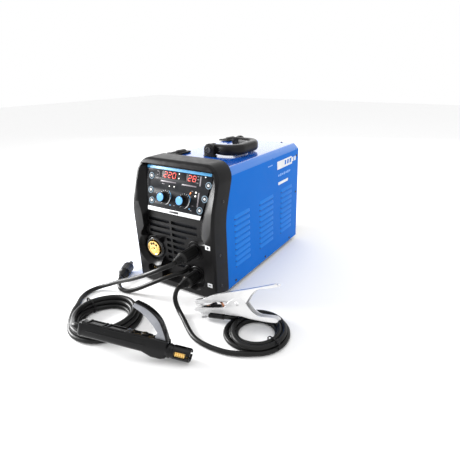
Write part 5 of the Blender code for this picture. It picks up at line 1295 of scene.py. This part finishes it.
def clamp():
    lower = [(-0.010, 0.0165), (0.014, 0.0135), (0.052, 0.0125), (0.078, 0.0085), (0.104, 0.0064), (0.131, 0.0),
             (0.183, -0.0057), (0.181, 0.0040), (0.147, 0.0075), (0.132, 0.0150), (0.1225, 0.0250), (0.113, 0.0380),
             (0.104, 0.0440), (0.086, 0.0440), (0.070, 0.0330), (0.058, 0.0250), (-0.010, 0.0225)]
    upper = [(-0.010, 0.0410), (-0.010, 0.0340), (0.020, 0.0340), (0.060, 0.0380), (0.072, 0.0330),
             (0.086, 0.0240), (0.104, 0.0240), (0.115, 0.0340), (0.131, 0.0555), (0.145, 0.0648),
             (0.160, 0.0666), (0.190, 0.0705), (0.191, 0.0745), (0.181, 0.0755), (0.135, 0.0675),
             (0.075, 0.0583), (0.027, 0.0496), (0.0076, 0.0420)]
    low_arm = pressed_arm(smooth_loop(lower, 3), [(u, v) for u, v in lower[:7]], CLAMP_WIDTH)
    high_spine = [upper[0], upper[17], upper[16], upper[15], upper[14], upper[13]]
    high_arm = pressed_arm(smooth_loop(upper, 3), high_spine[::-1], CLAMP_WIDTH - 2 * SHEET - 2 * GAP)
    obj = piece("clamp_lower_pressing", moved(low_arm, CLAMP), "zinc_steel", "machine", 40)
    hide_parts("clamp_lower_arm")
    obj = piece("clamp_upper_pressing", moved(high_arm, CLAMP), "zinc_steel", "clamp_upper_arm", 40)
    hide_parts("clamp_upper_arm")
    curl = [(0.1905 + 0.0032 * math.cos(a), 0.0722 + 0.0032 * math.sin(a), 0.0)
            for a in [math.radians(200 - 24 * k) for k in range(12)]]
    piece("clamp_upper_curl", moved(oval_strip(curl, 0.0085, 0.0006), CLAMP), "zinc_steel", "clamp_upper_arm", 40)
    half = CLAMP_WIDTH / 2
    rivet = lathe([(0.0001, -half - 0.0016), (0.0026, -half - 0.0014), (0.0042, -half), (0.0030, -half + 0.0005),
                   (0.0030, half - 0.0005), (0.0042, half), (0.0026, half + 0.0014), (0.0001, half + 0.0016)], 28)
    pivot = Matrix.Translation((0.095, 0.034, 0))
    piece("clamp_rivet", moved(rivet, CLAMP @ pivot), "zinc_steel", "machine", 30)
    coil_spring = spring((0.095, 0.034, -0.0080), (0.095, 0.034, 0.0080), 0.0062, 7, 0.0010)
    piece("clamp_spring", moved(coil_spring, CLAMP), "zinc_steel", "machine", 40)
    jaws = []
    for w in (-0.0060, 0.0060):
        jaws.append(block((-0.0085, 0.0225, w - 0.0035), (0.0065, 0.0262, w + 0.0035), 0.0008))
    piece("clamp_lower_jaw", moved(merged(*jaws), CLAMP), "zinc_steel", "machine", 35)
    jaws = [block((-0.0085, 0.0302, w - 0.0035), (0.0065, 0.0338, w + 0.0035), 0.0008) for w in (-0.0058, 0.0058)]
    piece("clamp_upper_jaw", moved(merged(*jaws), CLAMP), "zinc_steel", "clamp_upper_arm", 35)
    # A black roll and blocks between the side plates are painted shade for the dark inside of the clamp's mouth.
    mouth_shade = [pipe([(0.033, 0.0285, -0.0070), (0.033, 0.0285, 0.0070)], 0.0052, 28),
              block((0.0080, 0.0235, -0.0070), (0.0310, 0.0262, 0.0070), 0.0010),
              block((0.0330, 0.0240, -0.0070), (0.0500, 0.0290, 0.0070), 0.0020)]
    piece("clamp_mouth_shade", moved(merged(*mouth_shade), CLAMP), "black_plastic", "machine", 35)
    up_axis = Matrix(((1, 0, 0), (0, 0, 1), (0, -1, 0))).to_4x4()
    hexagon = [(0.0080 * math.cos(math.radians(60 * k)), 0.0080 * math.sin(math.radians(60 * k))) for k in range(6)]
    bolt = moved(flat(hexagon, 0.0062, bevel=0.0008), Matrix.Translation((0.007, -0.0012, 0)) @ up_axis)
    stud = moved(lathe([(0.0001, 0.0), (0.0034, 0.0), (0.0034, 0.0180), (0.0001, 0.0185)], 20),
                 Matrix.Translation((0.007, 0.003, 0)) @ up_axis)
    nut = moved(flat(hexagon, 0.0040, bevel=0.0005), Matrix.Translation((0.007, 0.0150, 0)) @ up_axis)
    piece("clamp_bolt", moved(merged(bolt, stud, nut), CLAMP), "zinc_steel", "machine", 30)
    barrel = pipe([(0.018, 0.0045, 0), (0.0195, 0.0044, 0), (0.021, 0.0043, 0), (0.0535, 0.0017, 0),
                   (0.0550, 0.0016, 0), (0.056, 0.0015, 0)],
                  [0.0050, 0.0060, 0.0064, 0.0064, 0.0068, 0.0066], 28)
    tongue = block((-0.001, 0.0085, -0.006), (0.022, 0.0108, 0.006), 0.0006)
    neck = loft([section_ring(0.0100, 0.0080, 0.0105, 0.0058, 0.0010),
                 section_ring(0.0150, 0.0050, 0.0105, 0.0056, 0.0022),
                 section_ring(0.0200, -0.0010, 0.0100, 0.0056, 0.0050)])
    obj = piece("earth_lug_barrel", moved(merged(tongue, neck), CLAMP), "zinc_steel", "machine", 40)
    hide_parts("earth_lug")
    piece("earth_lug_sleeve", moved(barrel, CLAMP), "black_plastic", "machine", 40, GLOSS_BLACK)
    braid = [(0.016, 0.0265, 0), (0.026, 0.0300, 0), (0.036, 0.0345, 0), (0.045, 0.0370, 0), (0.052, 0.0340, 0),
             (0.0565, 0.0270, 0),
             (0.0570, 0.0215, 0)]
    fine = smooth_route([braid[0], *braid, braid[-1]], 24)[1:-1]
    piece("clamp_strap", moved(oval_strip(fine, 0.0046, 0.0011), CLAMP), "copper", "machine", 40)


def oval_strip(points, half_width, half_thickness):
    """A flat strap along a path in the tool's plane."""
    points = [Vector(point) for point in points]
    rings = []
    for i, point in enumerate(points):
        along = (points[min(i + 1, len(points) - 1)] - points[max(i - 1, 0)]).normalized()
        normal = Vector((-along.y, along.x, 0))
        rings.append([point + half_width * math.cos(a) * Vector((0, 0, 1)) + half_thickness * math.sin(a) * normal
                      for a in [2 * math.pi * k / 16 for k in range(16)]])
    return loft(rings)


# ---------------------------------------------------------------- cable ties and rear

def cable_tie(name, centre, along, radius_out, height, body="machine"):
    """A narrow band round the bundle, with its head."""
    centre, along = Vector(centre), Vector(along).normalized()
    side = along.cross(Vector((0, 0, 1))).normalized()
    loop = []
    for k in range(28):
        c, d = math.cos(2 * math.pi * k / 28), math.sin(2 * math.pi * k / 28)
        c, d = math.copysign(abs(c) ** 0.7, c), math.copysign(abs(d) ** 0.7, d)
        loop.append(centre + radius_out * c * side + height * d * Vector((0, 0, 1)))
    rings = []
    for point in loop:
        outward = (point - centre).normalized()
        rings.append([point + along * a + outward * b for a,
                      b in ((-0.0016, -0.0004), (0.0016, -0.0004), (0.0016, 0.0006), (-0.0016, 0.0006))])
    band = loft([*rings, rings[0]], caps=False)
    head = bar(loop[4] - side * 0.001, loop[4] + side * 0.0035, 0.0045, 0.0045, 0.0006)
    piece(name, merged(band, head), "black_plastic", body, 40)


def rear_details():
    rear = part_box("fan_frame")[1].y
    wires = []
    for radius in (0.014, 0.024, 0.034, 0.044, 0.054):
        loop = [(0.054 + radius * math.cos(2 * math.pi * k / 48), rear + 0.0030,
                 0.175 + radius * math.sin(2 * math.pi * k / 48))
                for k in range(48)]
        wires.append(pipe(loop, 0.0009, 10, closed=True))
    for k in range(4):
        angle = math.radians(45 + 90 * k)
        wires.append(pipe([(0.054 + 0.010 * math.cos(angle), rear + 0.0018, 0.175 + 0.010 * math.sin(angle)),
                           (0.054 + 0.0740 * math.cos(angle), rear + 0.0018, 0.175 + 0.0740 * math.sin(angle))],
                          0.0010, 10))
    piece("fan_guard", merged(*wires), "zinc_steel", "machine", 50)
    back = Matrix.Translation((0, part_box("rear_panel")[1].y, 0)) @ Matrix(((-1, 0, 0), (0, 0, 1), (0, 1, 0))).to_4x4()
    plate = flat(rounded(0.0750, 0.1650, 0.0600, 0.0450, 0.003, 5), 0.0006, back, bevel=0.0001)
    piece("rear_plate", plate, "black_metal", "machine", finish=INKS["silver"])
    lines = [flat(slanted_bar(0.0750, 0.1800 - 0.0060 * i, 0.0480 if i else 0.0300, 0.0012), 0.0002,
                  back @ Matrix.Translation((0, 0, 0.0006)))
             for i in range(6)]
    piece("rear_plate_lines", merged(*lines), "black_metal", "machine", finish=INKS["dark"])
    marks = [flat(slanted_bar(0.075, 0.2890, 0.0012, 0.0050), 0.0003, back),
             flat(crescent((0.075, 0.2300), 0.0028, 0, 330, 0.0008), 0.0003, back)]
    piece("switch_marks", merged(*marks), "black_metal", "machine", finish=INKS["white"])
    # Dark strips on the rear panel are painted shade standing in for its vent slots.
    slots = []
    for row in range(7):
        slots.append(flat(rounded(0.0750, 0.1200 - 0.0090 * row + 0.014, 0.0560, 0.0036, 0.0017, 4), 0.0003, back))
    piece("rear_slot_shades", merged(*slots), "black_metal", "machine", finish=INKS["dark"])


# ---------------------------------------------------------------- leads

def smooth_route(points, count):
    """A straight piece at each end, and between them evenly spaced points of a Catmull-Rom curve."""
    first, *points, last = [Vector(point) for point in points]
    padded = [2 * points[0] - points[1], *points, 2 * points[-1] - points[-2]]
    fine = [points[0]]
    for a, b, c, d in zip(padded, padded[1:], padded[2:], padded[3:]):
        for step in range(1, 17):
            t = step / 16
            fine.append(0.5 * (2 * b + (c - a) * t + (2 * a - 5 * b + 4 * c - d) * t * t
                               + (3 * b - a - 3 * c + d) * t * t * t))
    picked = [fine[round(step * (len(fine) - 1) / count)] for step in range(count + 1)]
    return [first, *picked, last]


def ease(t):
    t = min(max(t, 0.0), 1.0)
    return t * t * (3 - 2 * t)


def coil_turns(coil, start_angle, turns, last_share, points=16):
    """Turns of a coil, anticlockwise from above: each holds its radius and height, then crosses to the next."""
    centre = Vector((coil["x"], coil["y"], 0.0))
    total = round((len(turns) - 1 + last_share) * points)
    result = []
    for step in range(total + 1):
        turn, share = divmod(step / points, 1.0)
        turn = min(int(turn), len(turns) - 1)
        after = turns[min(turn + 1, len(turns) - 1)]
        cross = ease((share - 0.72) / 0.28)
        radius = turns[turn][0] + (after[0] - turns[turn][0]) * cross
        height = turns[turn][1] + (after[1] - turns[turn][1]) * cross
        lift = 0.0016 * math.sin(math.pi * cross) if turns[turn][1] > 0.01 else 0.0
        angle = start_angle + 2 * math.pi * step / points
        wobble = 0.0004 * math.sin(2 * angle + turn)
        result.append(centre + Vector(((radius + wobble) * math.cos(angle), (radius + wobble) * math.sin(angle),
                                       height + lift)))
    return result


def cable(name, points):
    """One open Bezier spline with the cable's radius."""
    curve = bpy.data.curves.new(name, "CURVE")
    curve.dimensions = "3D"
    curve.bevel_depth = CABLE / 2
    curve.bevel_resolution = 6
    curve.resolution_u = 5
    curve.use_fill_caps = True
    spline = curve.splines.new("BEZIER")
    spline.bezier_points.add(len(points) - 1)
    for point, place in zip(spline.bezier_points, points):
        point.co = place
        point.handle_left_type = "AUTO"
        point.handle_right_type = "AUTO"
    obj = bpy.data.objects.new(name, curve)
    bpy.context.scene.collection.objects.link(obj)
    obj.data.materials.append(SLOTS["rubber"])
    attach(obj, "machine")
    return obj


def curve_length(points):
    return sum((b - a).length for a, b in zip(points, points[1:]))


def electrode_cable():
    floor = CABLE / 2 + 0.0001
    layers = [(0.0755, floor), (0.0645, floor), (0.0535, floor), (0.0590, floor + 0.0097), (0.0700, floor + 0.0097),
              (0.0645, floor + 0.0193)]
    coiled = coil_turns(ELECTRODE_COIL, math.radians(232), layers, 0.875)
    enter = [HOLDER @ Vector((s, 0.003, 0.0)) for s in (-0.004, 0.012, 0.030, 0.060, 0.100)]
    along = (enter[1] - enter[0]).normalized()
    left = Vector((-along.y, along.x, 0)).normalized()
    turn_radius = 0.032
    hub = enter[0] + turn_radius * left
    centre = Vector((ELECTRODE_COIL["x"], ELECTRODE_COIL["y"], 0))
    gap = Vector((hub.x - centre.x, hub.y - centre.y))
    leave = math.atan2(gap.y, gap.x) - math.acos((layers[-1][0] - turn_radius) / gap.length)
    arrive = math.atan2(-left.y, -left.x)
    start = math.radians(232 + 0.875 * 360 - 360)
    leave = start + (leave - start) % (2 * math.pi)
    rise = []
    for step in (1, 2):
        angle = start + (leave - start) * step / 2
        rise.append((centre.x + layers[-1][0] * math.cos(angle), centre.y + layers[-1][0] * math.sin(angle)))
    near = Vector((hub.x + turn_radius * math.cos(leave), hub.y + turn_radius * math.sin(leave)))
    for share in (0.34, 0.67, 1.0):
        rise.append(tuple(Vector(rise[1]).lerp(near, share)))
    for step in (1, 2):
        angle = leave + ((arrive - leave) % (2 * math.pi)) * step / 3
        rise.append((hub.x + turn_radius * math.cos(angle), hub.y + turn_radius * math.sin(angle)))
    low, high = layers[-1][1], enter[0].z + 0.0045
    count = len(rise)
    rise = [Vector((x, y, low + (high - low) * ease((i + 1) / (count + 0.5)))) for i, (x, y) in enumerate(rise)]
    points = smooth_route(ELECTRODE_ROUTE, 26) + coiled + rise + enter
    obj = cable("electrode_cable", points)
    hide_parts("electrode_lead", "electrode_coil")
    return obj, curve_length(points)


def earth_cable():
    floor = CABLE / 2 + 0.0001
    layers = [(0.0675, floor), (0.0560, floor), (0.0445, floor), (0.0505, floor + 0.0097), (0.0615, floor + 0.0097)]
    coiled = coil_turns(EARTH_COIL, math.radians(-62), layers, 0.60)
    enter = [CLAMP @ Vector((s, t, 0.0)) for s, t in ((0.078, 0.0010), (0.060, 0.0013), (0.048, 0.0021))]
    points = smooth_route(EARTH_ROUTE, 24) + coiled + enter
    obj = cable("earth_cable", points)
    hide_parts("earth_lead", "earth_coil")
    return obj, curve_length(points)


def polarity_cable():
    points = smooth_route(POLARITY_ROUTE, 22)
    obj = cable("polarity_cable", points)
    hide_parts("polarity_lead")
    return obj, curve_length(points)


# ---------------------------------------------------------------- studio

def camera():
    data = bpy.data.cameras.new("camera")
    data.sensor_width = 36.0
    data.lens = 29.84
    data.shift_x = -0.068
    data.shift_y = -0.001
    data.clip_start = 0.01
    yaw, pitch, roll = 0.5215, 0.3987, -0.0064
    forward = Vector((-math.sin(yaw) * math.cos(pitch), math.cos(yaw) * math.cos(pitch), -math.sin(pitch)))
    right = Vector((math.cos(yaw), math.sin(yaw), 0.0))
    up = right.cross(forward)
    right, up = (math.cos(roll) * right + math.sin(roll) * up, math.cos(roll) * up - math.sin(roll) * right)
    place = Matrix((right, up, -forward)).transposed().to_4x4()
    place.translation = (0.6207, -0.8787, 0.5341)
    obj = bpy.data.objects.new("camera", data)
    obj.matrix_world = place
    bpy.context.scene.collection.objects.link(obj)
    bpy.context.scene.camera = obj


def area_light(name, place, target, size, power, colour=(1, 1, 1)):
    data = bpy.data.lights.new(name, "AREA")
    data.shape = "RECTANGLE"
    data.size, data.size_y = size
    data.energy = power
    data.color = colour
    obj = bpy.data.objects.new(name, data)
    obj.location = place
    obj.rotation_euler = (Vector(target) - Vector(place)).to_track_quat("-Z", "Y").to_euler()
    obj.visible_camera = False
    bpy.context.scene.collection.objects.link(obj)


def studio():
    scene = bpy.context.scene
    scene.view_settings.view_transform = "Standard"
    world = bpy.data.worlds.new("studio")
    world.use_nodes = True
    world.node_tree.nodes["Background"].inputs["Color"].default_value = (1.0, 1.0, 1.0, 1.0)
    world.node_tree.nodes["Background"].inputs["Strength"].default_value = 1.0
    scene.world = world
    bpy.ops.mesh.primitive_plane_add(size=12, location=(0, 0, 0))
    floor = bpy.context.object
    floor.name = "studio_floor"
    paper = material("paper", (0.93, 0.93, 0.93), 0.9)
    vary_roughness(paper, noise(paper.node_tree, 20), 0.85, 0.95)
    floor.data.materials.append(paper)
    area_light("left_box", (-1.20, -0.60, 0.48), (0.05, -0.25, 0.25), (0.62, 0.50), 42)
    area_light("fill", (1.5, -0.9, 1.6), (0.1, 0, 0.15), (1.0, 1.0), 3)
    area_light("back", (-0.75, 1.75, 0.95), (0, 0.1, 0.3), (2.8, 1.3), 8)
    area_light("top", (0.0, -0.3, 2.2), (0, -0.1, 0), (1.4, 1.4), 6)


# ---------------------------------------------------------------- assembly

coat_frame()
electrode, electrode_length = electrode_cable()
earth, earth_length = earth_cable()
polarity, polarity_length = polarity_cable()
bezel()
panel_film()
panel_print()
knobs()
buttons()
polarity_labels()
euro_connector()
power_sockets()
plugs()
round_gland()
control_socket()
casing()
side_marks()
screws()
handle()
hinges()
wire_spool()
holder()
clamp()
rear_details()
for number, coil, angle, radius, half, height in ((1, ELECTRODE_COIL, 169, 0.0645, 0.0180, 0.0158),
                                                  (2, EARTH_COIL, -20, 0.0560, 0.0182, 0.0116)):
    direction = Vector((math.cos(math.radians(angle)), math.sin(math.radians(angle)), 0))
    cable_tie(f"coil_tie_{number}", Vector((coil["x"], coil["y"], height)) + radius * direction,
              (-direction.y, direction.x, 0),
              half, height - 0.0004)
camera()
studio()
